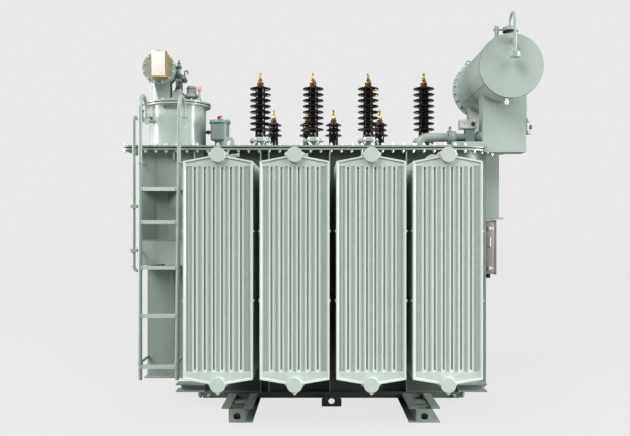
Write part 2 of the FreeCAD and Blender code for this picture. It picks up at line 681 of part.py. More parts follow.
def cover_fittings():
    """Pressure relief device and lifting lugs on the cover."""
    relief = turned(-991, -250, [
        (0, COVER_TOP), (70, COVER_TOP), (70, COVER_TOP + 12), (45, COVER_TOP + 20),
        (45, COVER_TOP + 66), (83, COVER_TOP + 81), (83, COVER_TOP + 225), (0, COVER_TOP + 225)])
    lid = turned(-991, -250, [
        (0, COVER_TOP + 225), (92, COVER_TOP + 225), (95, COVER_TOP + 232), (91, COVER_TOP + 252), (40, COVER_TOP + 260), (0, COVER_TOP + 260)])
    pin = turned(-991, -250, [(0, COVER_TOP + 260), (22, COVER_TOP + 260), (24, COVER_TOP + 270), (24, COVER_TOP + 288), (14, COVER_TOP + 296), (0, COVER_TOP + 296)])
    lugs = []
    for x, y in ((-893, -400), (-893, 400), (1160, -180), (1160, 400)):
        plate = box(x - 46, x + 46, y - 10, y + 10, COVER_TOP, COVER_TOP + 46)
        eye = bar_y(x, COVER_TOP + 46, y - 10, y + 10, 46)
        lugs.append(join([plate, eye]).cut(bar_y(x, COVER_TOP + 46, y - 20, y + 20, 19)))
    return {
        "relief_valve": join([relief, lid]),
        "relief_valve_pin": pin,
        "lifting_lugs": group(lugs),
    }


def oil_line():
    """Oil pipe from the cover through the gas relay to the conservator."""
    y = OIL_PIPE_Y
    z = OIL_PIPE_Z
    rise = pipe([(OIL_PIPE_X, y, COVER_TOP), (OIL_PIPE_X, y, z), (RELAY_LEFT, y, z)],
                OIL_PIPE_R, 80)
    rise = join([
        rise,
        post(OIL_PIPE_X, y, COVER_TOP, COVER_TOP + 14, RELAY_FLANGE_R + 14),
        bar_x(y, z, RELAY_LEFT - 18, RELAY_LEFT, RELAY_FLANGE_R),
    ])
    relay = join([
        bar_x(y, z, RELAY_LEFT, RELAY_LEFT + 18, RELAY_FLANGE_R),
        bar_x(y, z, RELAY_LEFT, RELAY_RIGHT, 34),
        box(1172, 1252, y - 42, y + 42, COVER_TOP + 36, COVER_TOP + 162),
        bar_x(y, z, RELAY_RIGHT - 24, RELAY_RIGHT, RELAY_FLANGE_R),
    ])
    head = box(1122, 1268, y - 52, y + 52, COVER_TOP + 162, COVER_TOP + 238)
    drum_low = DRUM_Z - math.sqrt(DRUM_R ** 2 - 3 ** 2)
    feed = pipe([(RELAY_RIGHT, y, z), (VENT_X, y, z), (VENT_X, y, drum_low + 20)],
                OIL_PIPE_R - 6, 90)
    feed = join([feed, bar_x(y, z, RELAY_RIGHT, RELAY_RIGHT + 18, RELAY_FLANGE_R)])
    feed = feed.cut(bar_y(DRUM_X, DRUM_Z, DRUM_FRONT_Y, DRUM_BACK_Y, DRUM_R))
    return {
        "oil_pipe": rise,
        "gas_relay": relay,
        "gas_relay_head": head,
        "conservator_feed_pipe": feed,
    }


def conservator():
    """Main oil conservator drum with its end plates."""
    front = DRUM_FRONT_Y + DRUM_PLATE_THICK
    outer = bar_y(DRUM_X, DRUM_Z, front, DRUM_BACK_Y, DRUM_R)
    shell = outer.cut(bar_y(DRUM_X, DRUM_Z, front, DRUM_BACK_Y, DRUM_R - SHELL_WALL))
    ring = bar_y(DRUM_X, DRUM_Z, DRUM_BACK_Y - 16, DRUM_BACK_Y, DRUM_FLANGE_R)
    ring = ring.cut(bar_y(DRUM_X, DRUM_Z, DRUM_BACK_Y - 16, DRUM_BACK_Y, DRUM_R))
    shell = join([shell, ring])
    front_end = bar_y(DRUM_X, DRUM_Z, DRUM_FRONT_Y, front, DRUM_R)
    back_end = bar_y(DRUM_X, DRUM_Z, DRUM_BACK_Y, DRUM_BACK_Y + 18, DRUM_FLANGE_R)
    eye = box(DRUM_X - 40, DRUM_X + 40, DRUM_BACK_Y, DRUM_BACK_Y + 18, DRUM_Z + 268, DRUM_Z + 340)
    eye = eye.cut(bar_y(DRUM_X, DRUM_Z + 316, DRUM_BACK_Y - 5, DRUM_BACK_Y + 30, 15))
    return {
        "conservator_shell": shell,
        "conservator_front_end": front_end,
        "conservator_back_end": join([back_end, eye]),
    }


def conservator_supports():
    """Brackets, base beams and column that carry the main conservator."""
    y0 = BRACKET_FRONT_Y
    y1 = y0 + BRACKET_DEPTH
    thick = BRACKET_PLATE
    plates = [
        box(BRACKET_LEFT, BRACKET_RIGHT, y0, y0 + thick, BRACKET_BOTTOM, DRUM_Z),
        box(BRACKET_LEFT, BRACKET_LEFT + thick, y0, y1, BRACKET_BOTTOM, DRUM_Z - 120),
        box(BRACKET_RIGHT - thick, BRACKET_RIGHT, y0, y1, BRACKET_BOTTOM, DRUM_Z - 120),
        box(BRACKET_LEFT, BRACKET_RIGHT, y0, y1, BRACKET_BOTTOM, BRACKET_BOTTOM + thick),
    ]
    drum = bar_y(DRUM_X, DRUM_Z, DRUM_FRONT_Y, DRUM_BACK_Y, DRUM_R)
    above = box(BRACKET_LEFT - 10, BRACKET_RIGHT + 10, y0 - 5, y1 + 5, DRUM_Z - 132, DRUM_Z + 10)
    half = TANK_HALF_DEPTH + RIM_OVERHANG
    cover = plan_plate(COVER_LEFT, TANK_RIGHT + RIM_OVERHANG + 2, half + 2, COVER_LEFT_R,
                       TANK_CORNER_R + RIM_OVERHANG, BRACKET_BOTTOM - 50, COVER_TOP)
    front = join(plates).cut(drum).cut(above).cut(cover)
    front = front.cut(bar_x(OIL_PIPE_Y, OIL_PIPE_Z, BRACKET_LEFT - 5, BRACKET_LEFT + 20,
                            RELAY_FLANGE_R + 6))
    front = largest(front)
    front_beam = box(1032, BRACKET_LEFT, -540, BRACKET_FRONT_Y, COVER_TOP, COVER_TOP + 35)
    foot_pad = box(BRACKET_LEFT - 60, BRACKET_LEFT, BRACKET_FRONT_Y, -440, COVER_TOP,
                   COVER_TOP + 35)
    back_y = BRACKET_BACK_Y
    back = join([
        box(1316, 1660, back_y, back_y + thick, COVER_TOP, DRUM_Z - 132),
        box(1316, 1326, back_y, back_y + 120, COVER_TOP, DRUM_Z - 132),
        box(1650, 1660, back_y, back_y + 120, COVER_TOP, DRUM_Z - 132),
        box(1316, 1660, back_y, back_y + 120, COVER_TOP, COVER_TOP + thick),
    ]).cut(drum)
    column = join([
        box(TANK_RIGHT, 1522, -170, 260, 1619, WALL_TOP - RIM_THICK),
        box(1477, 1522, -170, 260, 1619, COVER_TOP),
        box(TANK_RIGHT, 1560, -190, 280, 1605, 1619),
    ])
    return {
        "conservator_bracket_front": front,
        "conservator_beam_front": join([front_beam, foot_pad]),
        "conservator_bracket_back": back,
        "conservator_column": column,
    }


def largest(shape):
    """The biggest solid of a cut shape."""
    return sorted(shape.Solids, key=lambda solid: solid.Volume)[-1]


def conservator_pipes():
    """Breather bend over the drum and the drain at its right side."""
    drum = bar_y(DRUM_X, DRUM_Z, DRUM_FRONT_Y, DRUM_BACK_Y, DRUM_R)
    neck = join([
        post(VENT_X, -650, DRUM_Z + DRUM_R - 20, COVER_TOP + 966, 26),
        post(VENT_X, -650, COVER_TOP + 952, COVER_TOP + 966, 62),
    ]).cut(drum)
    bend = pipe([(VENT_X, -650, COVER_TOP + 980), (VENT_X, -650, COVER_TOP + 1080), (VENT_X, -810, COVER_TOP + 1080),
                 (VENT_X, -810, COVER_TOP + 736)], VENT_R, 79)
    flange = post(VENT_X, -650, COVER_TOP + 966, COVER_TOP + 980, 62)
    mouth = post(VENT_X, -810, COVER_TOP + 695, COVER_TOP + 736, 41)
    stay = box(VENT_X - 5, VENT_X + 5, -804, DRUM_FRONT_Y, COVER_TOP + 820, COVER_TOP + 832)
    vent = join([bend, flange, mouth, stay])
    drain_x = 1730
    drain = join([
        post(drain_x, -300, COVER_TOP + 253, DRUM_Z - 100, 14),
        post(drain_x, -300, COVER_TOP + 240, COVER_TOP + 253, 40),
        post(drain_x, -300, COVER_TOP + 142, COVER_TOP + 240, 26),
        post(drain_x, -300, COVER_TOP + 129, COVER_TOP + 142, 40),
        bar_x(-300, COVER_TOP + 190, drain_x, RIGHT_EXTENT, 16),
    ]).cut(drum)
    lug = join([
        box(1368, 1398, -680, -668, DRUM_Z + 180, COVER_TOP + 984),
        box(1368, 1378, -700, -648, DRUM_Z + 180, COVER_TOP + 984),
    ]).cut(drum)
    lug = largest(lug)
    return {
        "vent_pipe": vent,
        "conservator_drain": drain,
        "conservator_fittings": group([neck, lug]),
    }


def terminal_box():
    """Stainless marshalling box on the right end wall, with door and glands."""
    body = box(TANK_RIGHT + 7, 1488, -160, 190, 1110, 1590)
    door = box(1488, 1500, -166, 196, 1104, 1596)
    pads = [box(TANK_RIGHT, TANK_RIGHT + 7, -120, -90, z, z + 40) for z in (1180, 1480)]
    pads = pads + [box(TANK_RIGHT, TANK_RIGHT + 7, 120, 150, z, z + 40) for z in (1180, 1480)]
    glands = [post(1440, y, 1070, 1110, 17) for y in (-110, -40, 30, 100)]
    return {
        "terminal_box": join([body] + pads),
        "terminal_box_door": door,
        "terminal_box_glands": group(glands),
    }


def main():
    """Write every node as its own file."""
    os.makedirs("parts", exist_ok=True)
    nodes = {}
    for build in (tank, wall_ribs, pocket, handling, radiators, hv_bushings, lv_bushings,
                  tap_changer, small_conservator, drain_pipe, ladder, cover_fittings,
                  oil_line, conservator, conservator_supports, conservator_pipes,
                  terminal_box):
        nodes.update(build())
    for name, shape in nodes.items():
        shape.exportStep("parts/%s.step" % name)


main()
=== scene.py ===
# %% [markdown]
# # Oil-filled power transformer
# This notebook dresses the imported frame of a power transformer: pressed radiator panels,
# glazed bushings, bolted joints, gauges and paint.  The frame gives every size and place.
# All lengths are metres; X runs along the tank, Y goes to the back and Z goes up.

# %% Load the frame
import math

import bmesh
import bpy
from mathutils import Matrix, Vector


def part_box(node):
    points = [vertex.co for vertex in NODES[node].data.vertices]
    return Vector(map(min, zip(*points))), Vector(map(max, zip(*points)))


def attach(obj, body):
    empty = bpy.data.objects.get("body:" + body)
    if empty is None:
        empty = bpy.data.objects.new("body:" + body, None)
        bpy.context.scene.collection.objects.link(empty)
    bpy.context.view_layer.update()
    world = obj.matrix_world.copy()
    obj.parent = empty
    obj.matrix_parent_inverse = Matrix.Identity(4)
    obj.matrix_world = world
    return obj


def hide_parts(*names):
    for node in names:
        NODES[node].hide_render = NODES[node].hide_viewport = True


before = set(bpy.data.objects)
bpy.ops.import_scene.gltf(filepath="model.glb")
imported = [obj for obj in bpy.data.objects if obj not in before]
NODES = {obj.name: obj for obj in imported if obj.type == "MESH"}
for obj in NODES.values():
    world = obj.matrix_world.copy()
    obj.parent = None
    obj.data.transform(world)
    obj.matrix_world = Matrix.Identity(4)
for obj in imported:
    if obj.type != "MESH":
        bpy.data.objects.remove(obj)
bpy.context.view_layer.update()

# %% [markdown]
# ## Modelling helpers
# A fabricator cuts, drills and bolts a few stock shapes.  These helpers do the same with
# primitives: add one at its size and place, shape it, and fasten it to the frame's body.
# Everything is deselected first because an operator acts on all that is selected.

# %% Selection and transform helpers
QUARTER = math.pi / 2


def clear():
    """Leave nothing selected, in object mode."""
    if bpy.context.object and bpy.context.object.mode != "OBJECT":
        bpy.ops.object.mode_set(mode="OBJECT")
    bpy.ops.object.select_all(action="DESELECT")


def only(*objects):
    """Select just these objects; the first is the active one."""
    clear()
    for obj in objects:
        obj.select_set(True)
    bpy.context.view_layer.objects.active = objects[0]


def settle(obj):
    """Move an object's place, turn and scale into its mesh."""
    only(obj)
    bpy.ops.object.transform_apply(location=True, rotation=True, scale=True)
    return obj


def block(name, low, high):
    """A box between two corners."""
    clear()
    middle = [(a + b) / 2 for a, b in zip(low, high)]
    bpy.ops.mesh.primitive_cube_add(size=1, location=middle)
    obj = bpy.context.object
    obj.name = name
    obj.scale = [b - a for a, b in zip(low, high)]
    return settle(obj)


def drum(name, radius, start, end, sides=48):
    """A cylinder whose axis runs from one point to another."""
    clear()
    start, end = Vector(start), Vector(end)
    axis = end - start
    bpy.ops.mesh.primitive_cylinder_add(vertices=sides, radius=radius, depth=axis.length,
                                        location=(start + end) / 2)
    obj = bpy.context.object
    obj.name = name
    obj.rotation_mode = "QUATERNION"
    obj.rotation_quaternion = axis.to_track_quat("Z", "Y")
    return settle(obj)


def soften(obj, width, segments=2, angle=40):
    """Round the sharp edges with an applied bevel."""
    only(obj)
    bevel = obj.modifiers.new("round", "BEVEL")
    bevel.width = width
    bevel.segments = segments
    bevel.limit_method = "ANGLE"
    bevel.angle_limit = math.radians(angle)
    bpy.ops.object.modifier_apply(modifier=bevel.name)
    return obj


def fuse(name, objects):
    """Join several objects into one named piece."""
    only(*objects)
    if len(objects) > 1:
        bpy.ops.object.join()
    obj = bpy.context.object
    obj.name = name
    return obj


def copy_to(obj, matrix):
    """A copy with its own mesh, placed by a matrix."""
    twin = obj.copy()
    twin.data = obj.data.copy()
    bpy.context.scene.collection.objects.link(twin)
    twin.data.transform(matrix)
    return twin


def moved(obj, x, y, z=0.0):
    """Shift a model that was made at the origin."""
    obj.data.transform(Matrix.Translation((x, y, z)))
    return obj


def rows(name, master, matrices):
    """Copies of one model at many places, joined into one piece."""
    copies = [copy_to(master, matrix) for matrix in matrices]
    bpy.data.objects.remove(master)
    return fuse(name, copies)


def pick_faces(obj, test):
    """In edit mode, select the faces whose middle and normal pass a test."""
    only(obj)
    bpy.ops.object.mode_set(mode="EDIT")
    bpy.ops.mesh.select_mode(type="FACE")
    bpy.ops.mesh.select_all(action="DESELECT")
    mesh = bmesh.from_edit_mesh(obj.data)
    for face in mesh.faces:
        face.select_set(test(face.calc_center_median(), face.normal))
    mesh.select_flush(True)
    bmesh.update_edit_mesh(obj.data)


def leave_edit():
    """Back to object mode."""
    bpy.ops.object.mode_set(mode="OBJECT")


print("helpers ready")

# %% [markdown]
# ### Turning, cutting and fastening
# Round fittings are turned: a disc is drawn up step by step, widening and narrowing like
# the work on a lathe.  Pressed sheet is scored with cutting planes first, then the strips
# between the scores are pushed in.  A bolt is one small hexagon head on a washer with the
# thread end showing; it is made once and copied round every flange.

# %% Turning and cutting helpers
def lathe(name, profile, sides=40):
    """Turn a solid about Z from (radius, height) pairs, bottom to top."""
    clear()
    radius, height = profile[0]
    bpy.ops.mesh.primitive_circle_add(vertices=sides, radius=radius, fill_type="NGON",
                                      location=(0, 0, height))
    obj = settle(bpy.context.object)
    obj.name = name
    bpy.ops.object.mode_set(mode="EDIT")
    bpy.ops.mesh.select_mode(type="FACE")
    bpy.ops.mesh.select_all(action="SELECT")
    for next_radius, next_height in profile[1:]:
        bpy.ops.mesh.extrude_region_move(
            TRANSFORM_OT_translate={"value": (0, 0, next_height - height)})
        ratio = next_radius / radius
        bpy.ops.transform.resize(value=(ratio, ratio, 1), center_override=(0, 0, next_height))
        radius, height = next_radius, next_height
    bpy.ops.mesh.select_all(action="SELECT")
    bpy.ops.mesh.normals_make_consistent(inside=False)
    leave_edit()
    return obj


def score(obj, points, normal, drop_outer=False):
    """Cut every face along planes through the points; optionally drop the far side."""
    only(obj)
    bpy.ops.object.mode_set(mode="EDIT")
    for point in points:
        bpy.ops.mesh.select_all(action="SELECT")
        bpy.ops.mesh.bisect(plane_co=point, plane_no=normal, use_fill=drop_outer,
                            clear_outer=drop_outer)
    leave_edit()


def press(obj, test, width, depth):
    """Inset each chosen face by itself and push it along its normal."""
    pick_faces(obj, test)
    bpy.ops.mesh.inset(thickness=width, depth=depth, use_individual=True)
    leave_edit()


def tidy_normals(obj):
    """Weld doubles and turn every face outwards."""
    only(obj)
    bpy.ops.object.mode_set(mode="EDIT")
    bpy.ops.mesh.select_all(action="SELECT")
    bpy.ops.mesh.remove_doubles(threshold=0.00002)
    bpy.ops.mesh.normals_make_consistent(inside=False)
    leave_edit()


def put(x, y, z, about_x=0.0, about_z=0.0, scale=1.0):
    """Matrix that turns a model made at the origin and moves it to its place."""
    turn = Matrix.Rotation(about_z, 4, "Z") @ Matrix.Rotation(about_x, 4, "X")
    return Matrix.Translation((x, y, z)) @ turn @ Matrix.Scale(scale, 4)


def ring(centre, radius, count, axis="Z", phase=0.0, scale=1.0, flip=False):
    """Places round a bolt circle, heads pointing along the axis."""
    places = []
    for index in range(count):
        angle = phase + 2 * math.pi * index / count
        a, b = radius * math.cos(angle), radius * math.sin(angle)
        if axis == "Z":
            places.append(put(centre[0] + a, centre[1] + b, centre[2],
                              math.pi if flip else 0.0, angle, scale))
        elif axis == "Y":
            turn = QUARTER if not flip else -QUARTER
            places.append(put(centre[0] + a, centre[1], centre[2] + b, turn, 0.0, scale))
        else:
            places.append(Matrix.Translation((centre[0], centre[1] + a, centre[2] + b))
                          @ Matrix.Rotation(-QUARTER if flip else QUARTER, 4, "Y")
                          @ Matrix.Scale(scale, 4))
    return places


WASHER_R, WASHER_TOP = 0.0155, 0.003
HEX_R, HEX_TOP = 0.0135, 0.014
THREAD_R, THREAD_TOP = 0.0075, 0.023


def hex_bolt(name):
    """M16 hexagon head on a washer with the end of the thread above it, facing +Z."""
    washer = drum(name, WASHER_R, (0, 0, 0), (0, 0, WASHER_TOP), 12)
    head = drum(name, HEX_R, (0, 0, WASHER_TOP), (0, 0, HEX_TOP), 6)
    pick_faces(head, lambda c, n: n.z > 0.9)
    bpy.ops.mesh.inset(thickness=0.002, depth=0.0015)
    leave_edit()
    thread = drum(name, THREAD_R, (0, 0, HEX_TOP), (0, 0, THREAD_TOP), 8)
    return fuse(name, [washer, head, thread])


print("turning and bolt helpers ready")

# %% Finishing helper
PIECES = []


def finish_piece(obj, material, smooth=35, replaces=()):
    """Give a piece its finish, shading and body, and say what was made."""
    only(obj)
    obj.data.materials.clear()
    obj.data.materials.append(material)
    bpy.ops.object.shade_smooth_by_angle(angle=math.radians(smooth))
    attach(obj, "root")
    if replaces:
        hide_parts(*replaces)
    PIECES.append(obj.name)
    print(obj.name, len(obj.data.polygons), "faces")
    return obj


print("finishing helper ready")

# %% [markdown]
# ## Shared surface effects
# Shop paint is never one flat colour: it has a fine orange-peel skin, clouds slightly, and
# gathers dust on the faces that look up.  Two node groups give masks and bumps that every
# finish can use at its own strength; the shaders themselves stay in each material.

# %% Node group: cloudy variation and skin
def new_group(name, inputs, outputs):
    """An empty shader group with named sockets."""
    group = bpy.data.node_groups.new(name, "ShaderNodeTree")
    for label, kind, value in inputs:
        socket = group.interface.new_socket(name=label, in_out="INPUT", socket_type=kind)
        socket.default_value = value
    for label, kind in outputs:
        group.interface.new_socket(name=label, in_out="OUTPUT", socket_type=kind)
    start = group.nodes.new("NodeGroupInput")
    end = group.nodes.new("NodeGroupOutput")
    return group, start, end


def math_node(tree, operation, first, second):
    """A math node fed by sockets or numbers."""
    node = tree.nodes.new("ShaderNodeMath")
    node.operation = operation
    for index, value in enumerate((first, second)):
        if isinstance(value, (int, float)):
            node.inputs[index].default_value = value
        else:
            tree.links.new(value, node.inputs[index])
    return node.outputs[0]


def noise_node(tree, coords, scale, detail=3.0, rough=0.5):
    """A noise texture on given coordinates."""
    node = tree.nodes.new("ShaderNodeTexNoise")
    node.inputs["Detail"].default_value = detail
    node.inputs["Roughness"].default_value = rough
    if isinstance(scale, (int, float)):
        node.inputs["Scale"].default_value = scale
    else:
        tree.links.new(scale, node.inputs["Scale"])
    tree.links.new(coords, node.inputs["Vector"])
    return node.outputs["Fac"]


def build_skin_group():
    """Clouds of tone, and the height of an orange-peel paint skin."""
    group, start, end = new_group(
        "paint_skin",
        [("Cloud Scale", "NodeSocketFloat", 3.0), ("Peel Scale", "NodeSocketFloat", 260.0)],
        [("Clouds", "NodeSocketFloat"), ("Peel", "NodeSocketFloat"),
         ("Grime", "NodeSocketFloat")])
    coords = group.nodes.new("ShaderNodeTexCoord").outputs["Object"]
    clouds = noise_node(group, coords, start.outputs["Cloud Scale"], 4.0, 0.6)
    peel = noise_node(group, coords, start.outputs["Peel Scale"], 2.0, 0.5)
    stretch = group.nodes.new("ShaderNodeMapping")
    stretch.inputs["Scale"].default_value = (14.0, 14.0, 1.2)
    group.links.new(coords, stretch.inputs["Vector"])
    streaks = noise_node(group, stretch.outputs["Vector"], 1.6, 5.0, 0.7)
    speck = noise_node(group, coords, 38.0, 3.0, 0.6)
    grime = math_node(group, "MULTIPLY", streaks, speck)
    group.links.new(clouds, end.inputs["Clouds"])
    group.links.new(peel, end.inputs["Peel"])
    group.links.new(grime, end.inputs["Grime"])
    return group


def build_dust_group():
    """A mask that is strong on faces that look up, broken by fine noise."""
    group, start, end = new_group(
        "settled_dust", [("Amount", "NodeSocketFloat", 0.5)], [("Dust", "NodeSocketFloat")])
    geometry = group.nodes.new("ShaderNodeNewGeometry")
    split = group.nodes.new("ShaderNodeSeparateXYZ")
    group.links.new(geometry.outputs["Normal"], split.inputs["Vector"])
    ramp = group.nodes.new("ShaderNodeMapRange")
    ramp.inputs["From Min"].default_value = 0.35
    ramp.inputs["From Max"].default_value = 1.0
    group.links.new(split.outputs["Z"], ramp.inputs["Value"])
    coords = group.nodes.new("ShaderNodeTexCoord").outputs["Object"]
    grain = noise_node(group, coords, 22.0, 6.0, 0.7)
    broken = math_node(group, "MULTIPLY", ramp.outputs["Result"], grain)
    dust = math_node(group, "MULTIPLY", broken, start.outputs["Amount"])
    group.links.new(dust, end.inputs["Dust"])
    return group


SKIN = build_skin_group()
DUST = build_dust_group()
print("groups", SKIN.name, DUST.name)

# %% [markdown]
# ## Paint and metal finishes
# The tank, radiators and pipes share one grey-green shop paint.  Bought-in fittings keep
# their makers' finishes: blue-grey castings, brown glazed porcelain, brass, zinc-plated
# bolts and brushed stainless sheet.  One recipe mixes each base colour with clouds, grime
# and dust, and bumps it with the skin.  Darker and lighter copies of the grey-green paint
# are painted shade and painted light.

# %% Material recipe
NOISE_LOW, NOISE_HIGH = 0.3, 0.7
DUST_COLOUR = (0.52, 0.54, 0.5)
COAT_ROUGHNESS = 0.12
PEEL_STRENGTH = 0.35


def colour_mix(tree, factor, first, second):
    """Blend two colours by a factor socket."""
    node = tree.nodes.new("ShaderNodeMix")
    node.data_type = "RGBA"
    tree.links.new(factor, node.inputs["Factor"])
    for socket, value in ((node.inputs[6], first), (node.inputs[7], second)):
        if isinstance(value, tuple):
            socket.default_value = value + (1.0,)
        else:
            tree.links.new(value, socket)
    return node.outputs[2]


def scaled(tree, value, low, high):
    """Stretch the middle of a noise mask onto a new range."""
    node = tree.nodes.new("ShaderNodeMapRange")
    node.inputs["From Min"].default_value = NOISE_LOW
    node.inputs["From Max"].default_value = NOISE_HIGH
    node.inputs["To Min"].default_value = low
    node.inputs["To Max"].default_value = high
    tree.links.new(value, node.inputs["Value"])
    return node.outputs["Result"]


def finish(name, base, shade, rough=(0.35, 0.5), metallic=0.0, dust=0.35, coat=0.0,
           peel=0.0006, cloud_scale=3.0, peel_scale=260.0, grime=(0.2, 0.22, 0.2), grime_mix=0.25):
    """A material from the shared skin and dust groups."""
    material = bpy.data.materials.new(name)
    material.use_nodes = True
    tree = material.node_tree
    shader = tree.nodes["Principled BSDF"]
    skin = tree.nodes.new("ShaderNodeGroup")
    skin.node_tree = SKIN
    skin.inputs["Cloud Scale"].default_value = cloud_scale
    skin.inputs["Peel Scale"].default_value = peel_scale
    tone = colour_mix(tree, skin.outputs["Clouds"], shade, base)
    dirt = scaled(tree, skin.outputs["Grime"], 0.0, grime_mix)
    dirty = colour_mix(tree, dirt, tone, grime)
    settled = tree.nodes.new("ShaderNodeGroup")
    settled.node_tree = DUST
    settled.inputs["Amount"].default_value = dust
    final = colour_mix(tree, settled.outputs["Dust"], dirty, DUST_COLOUR)
    tree.links.new(final, shader.inputs["Base Color"])
    tree.links.new(scaled(tree, skin.outputs["Clouds"], *rough), shader.inputs["Roughness"])
    shader.inputs["Metallic"].default_value = metallic
    shader.inputs["Coat Weight"].default_value = coat
    shader.inputs["Coat Roughness"].default_value = COAT_ROUGHNESS
    bump = tree.nodes.new("ShaderNodeBump")
    bump.inputs["Strength"].default_value = PEEL_STRENGTH
    bump.inputs["Distance"].default_value = peel
    tree.links.new(skin.outputs["Peel"], bump.inputs["Height"])
    tree.links.new(bump.outputs["Normal"], shader.inputs["Normal"])
    return material


print("recipe ready")

# %% The finishes
PAINT = finish("grey_green_paint", (0.345, 0.402, 0.366), (0.312, 0.368, 0.334),
               rough=(0.24, 0.34), dust=0.16)
# Lighter copy of the grey-green paint: painted light on the drum, tap changer head and housing
# belt; its low roughness is a real gloss.
PAINT_LIT_GLOSS = finish("drum_gloss_painted_light", (0.445, 0.51, 0.47), (0.41, 0.475, 0.435),
                    rough=(0.17, 0.24), dust=0.12)
# Darker copy of the grey-green paint: painted shade on the cover, rim, brackets and small
# fittings.
PAINT_SHADED = finish("cover_painted_shade", (0.265, 0.312, 0.282), (0.225, 0.268, 0.24),
                   rough=(0.26, 0.38), dust=0.2)
PAINT_PANEL = finish("radiator_paint", (0.53, 0.60, 0.55), (0.50, 0.57, 0.52),
                     rough=(0.27, 0.36), dust=0.12, cloud_scale=1.6)
# Darker radiator paint: painted shade on the groove flanks.
PANEL_GROOVE_SHADE = finish("radiator_recess_painted_shade", (0.28, 0.33, 0.295), (0.24, 0.285, 0.255),
                    rough=(0.4, 0.5), dust=0.05, cloud_scale=2.0)
# Paler radiator paint: painted highlight on rims, flutes and the low up-facing groove ends.
PANEL_EDGE_HIGHLIGHT = finish("radiator_edge_painted_highlight", (0.68, 0.74, 0.70), (0.62, 0.69, 0.645),
                    rough=(0.2, 0.3), dust=0.08, cloud_scale=2.0, grime_mix=0.1)
# Darker copy of the grey-green paint: painted shade on the walls, end housing, feet, column, pipe
# and brackets.
PAINT_WALL_SHADE = finish("tank_wall_painted_shade", (0.30, 0.355, 0.318), (0.255, 0.305, 0.272),
                    rough=(0.30, 0.42), dust=0.18, cloud_scale=2.2, grime_mix=0.35)
# Near-black copy of the grey-green paint: painted shade on the tank body, base, skirt, lugs and
# the radiators' deep faces.
PAINT_DEEP_SHADE = finish("tank_side_painted_shade", (0.105, 0.128, 0.113), (0.08, 0.10, 0.088),
                    rough=(0.34, 0.46), dust=0.2, cloud_scale=2.2, grime_mix=0.35)
BLUE_GREY = finish("blue_grey_casting", (0.20, 0.255, 0.25), (0.17, 0.22, 0.215),
                   rough=(0.35, 0.5), dust=0.15, peel=0.001, peel_scale=180.0)
PORCELAIN = finish("brown_glaze", (0.012, 0.006, 0.005), (0.005, 0.003, 0.003),
                   rough=(0.06, 0.12), dust=0.02, coat=0.6, peel=0.0002, grime_mix=0.0)
BRASS = finish("turned_brass", (0.86, 0.62, 0.24), (0.66, 0.42, 0.14), rough=(0.18, 0.32),
               metallic=1.0, dust=0.02, peel_scale=900.0, grime=(0.2, 0.12, 0.05),
               cloud_scale=30.0)
SEAL = finish("black_rubber", (0.012, 0.013, 0.012), (0.006, 0.007, 0.006),
              rough=(0.6, 0.8), dust=0.05)
BROWN_SEAL = finish("brown_seal", (0.12, 0.05, 0.03), (0.07, 0.025, 0.015),
                    rough=(0.3, 0.45), dust=0.02)
ZINC = finish("zinc_plate", (0.80, 0.82, 0.80), (0.62, 0.64, 0.62), rough=(0.25, 0.42),
              metallic=0.35, dust=0.1, cloud_scale=40.0, grime_mix=0.1)
WHITE = finish("white_enamel", (0.86, 0.84, 0.78), (0.78, 0.75, 0.68), rough=(0.15, 0.25),
               dust=0.05, coat=0.5)
GOLD = finish("gold_anodised", (0.62, 0.42, 0.16), (0.42, 0.26, 0.09), rough=(0.22, 0.35),
              metallic=0.35, dust=0.0, cloud_scale=6.0, grime=(0.45, 0.3, 0.12), grime_mix=0.1)
RED = finish("red_cap", (0.42, 0.06, 0.05), (0.3, 0.035, 0.03), rough=(0.3, 0.45), dust=0.08)
PINK = finish("pink_cap", (0.72, 0.5, 0.44), (0.6, 0.36, 0.3), rough=(0.3, 0.45), dust=0.08)
STEEL = finish("brushed_stainless", (0.5, 0.485, 0.46), (0.4, 0.385, 0.36),
               rough=(0.3, 0.42), metallic=0.75, dust=0.05, cloud_scale=8.0, peel_scale=600.0)
BEIGE = finish("beige_enamel", (0.285, 0.265, 0.24), (0.25, 0.23, 0.21), rough=(0.3, 0.42),
               dust=0.1, cloud_scale=6.0)
print(len(bpy.data.materials), "materials")

# %% Chequered tread for the ladder rungs
TREAD_PITCH = (95.0, 40.0, 95.0)
TREAD_HEIGHT = 0.0015


def chequer_tread():
    """Painted tread: small raised lozenges worn pale on top of the rung's paint."""
    material = finish("rung_tread", (0.50, 0.56, 0.51), (0.42, 0.48, 0.44), rough=(0.3, 0.45),
                      dust=0.3)
    tree = material.node_tree
    shader = tree.nodes["Principled BSDF"]
    coords = tree.nodes.new("ShaderNodeTexCoord")
    turn = tree.nodes.new("ShaderNodeMapping")
    turn.inputs["Rotation"].default_value = (0.0, math.radians(45), 0.0)
    turn.inputs["Scale"].default_value = TREAD_PITCH
    check = tree.nodes.new("ShaderNodeTexChecker")
    check.inputs["Scale"].default_value = 1.0
    tree.links.new(coords.outputs["Object"], turn.inputs["Vector"])
    tree.links.new(turn.outputs["Vector"], check.inputs["Vector"])
    base = shader.inputs["Base Color"].links[0].from_socket
    worn = colour_mix(tree, check.outputs["Fac"], base, (0.66, 0.70, 0.65))
    tree.links.new(worn, shader.inputs["Base Color"])
    bump = shader.inputs["Normal"].links[0].from_node
    raised = tree.nodes.new("ShaderNodeBump")
    raised.inputs["Strength"].default_value = 0.6
    raised.inputs["Distance"].default_value = TREAD_HEIGHT
    tree.links.new(check.outputs["Fac"], raised.inputs["Height"])
    tree.links.new(bump.outputs["Normal"], raised.inputs["Normal"])
    tree.links.new(raised.outputs["Normal"], shader.inputs["Normal"])
    return material


TREAD = chequer_tread()
print("tread ready")
